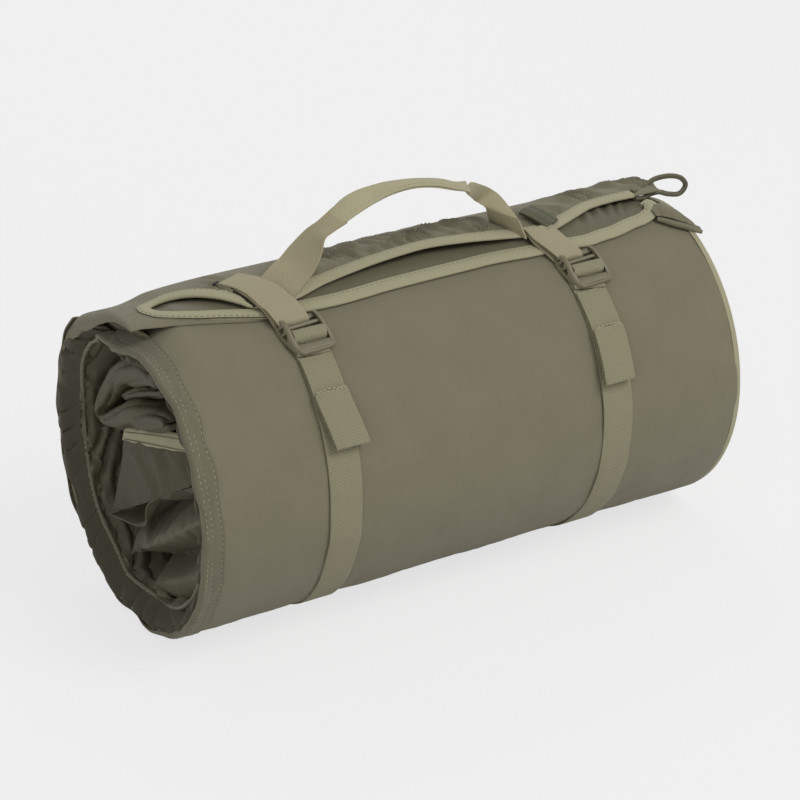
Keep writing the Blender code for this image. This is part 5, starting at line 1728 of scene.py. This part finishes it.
def make_necks(edges, middle, looks):
    left = cloth("handle_left_webbing", left_neck_grid(edges, middle), WEB_THICK, looks["neck"], None)
    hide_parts("handle_left_neck")
    right = cloth("handle_right_webbing", right_neck_grid(), WEB_THICK, looks["neck"], None)
    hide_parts("handle_right_neck")
    for piece, side in ((left, "left"), (right, "right")):
        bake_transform(piece)


def make_grip(far, near, looks):
    """The carried stretch, where the web is folded in two, thinner towards its ends."""
    centre, across = (far + near) / 2, near - far
    tangent = unit(np.gradient(centre, axis=0))
    side = square_to(tangent, across)
    up = np.cross(side, tangent)
    up = np.where((up[:, 2] < 0)[:, None], -up, up)
    run = run_length(centre)
    thick = mix(0.44, 1.0, smooth(np.minimum(run, run[-1] - run) / 0.020))[:, None]
    wide = np.linalg.norm(across, axis=1)[:, None] / GRIP_FULL_WIDTH
    a, b = np.array(GRIP_PROFILE).T[:, None]
    rings = centre[:, None] + side[:, None] * (a * wide)[..., None] + up[:, None] * (b * thick)[..., None]
    grip = tube("handle_grip_webbing", rings, looks["handle"], "handle", flat_uv(a, run))
    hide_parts("handle_grip")
    row = centre + side * 0.0036 * wide + up * (0.0018 * thick + 0.0001)
    stitches("handle_edge_stitching", row[8:-8], up[8:-8], looks["thread"], GRIP_STITCH, "handle")


def make_handle(looks):
    """One web from patch to patch, folded in two along the grip, where it is carried."""
    edges = curve_through([(*a, *b) for a, b in HANDLE_EDGES], 300)
    middle = (edges[:, 0] + edges[:, 3]) / 2
    make_necks(edges, middle, looks)
    grip = edges[middle > -0.0655]
    make_grip(grip[:, :3], grip[:, 3:], looks)


# Label

LABEL_CORNERS = [(0.0975, -0.0036), (0.1151, 0.0064), (0.1210, -0.0201), (0.1065, -0.0276)]
LABEL_LIFT = 0.0045


def label_grid():
    """The label's middle face, from its sewn edge to its free one, slightly bulged."""
    rear_left, rear_right, front_right, front_left = np.array(LABEL_CORNERS)
    t, v = np.linspace(0, 1, 16)[:, None], np.linspace(0, 1, 12)[None]
    near, far = mix(rear_left, front_left, t), mix(rear_right, front_right, t)
    x, y = np.moveaxis(mix(near[:, None], far[:, None], v[..., None]), -1, 0)
    psi = psi_at(y, 0.129)
    bulge = 0.0014 * np.sin(math.pi * np.minimum(1.0, v * 1.3 + 0.1)) - 0.0006 * v
    return on_top(x, psi, cover_height(x, psi) + LABEL_LIFT - 0.0008 + bulge)


def make_label(looks):
    grid = label_grid()
    label = cloth("label_cloth", grid, 0.0022, looks["label"], "label_tab")
    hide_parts("label_tab")
    up = unit(grid_normals(grid)[8, 6])
    if up[2] < 0:
        up = -up
    for row, column in (("near", 1), ("far", 10)):
        path = grid[1:-1, column]
        stitches("label_" + row + "_stitching", path, up, looks["thread"], LABEL_STITCH, "label_tab", 0.0012)


# All of it, the camera and the cord first


def make_all():
    looks = make_looks()
    make_camera()
    make_elastic(looks)
    make_stage()
    for make in (make_gusset, make_ring_wall, make_tucks, make_pocket, make_folds, make_bundle, make_corner_flap,
                 make_wound_layers, make_facing, make_right_end, make_lower_layer, make_upper_binding,
                 make_lower_binding):
        make(looks)
    for side in ("left", "right"):
        for make in (make_strap, make_loop, make_buckle, make_threaded, make_tail):
            make(side, looks)
    for make in (painted_shade_strip, make_handle, make_label, make_cover):
        make(looks)


make_all()
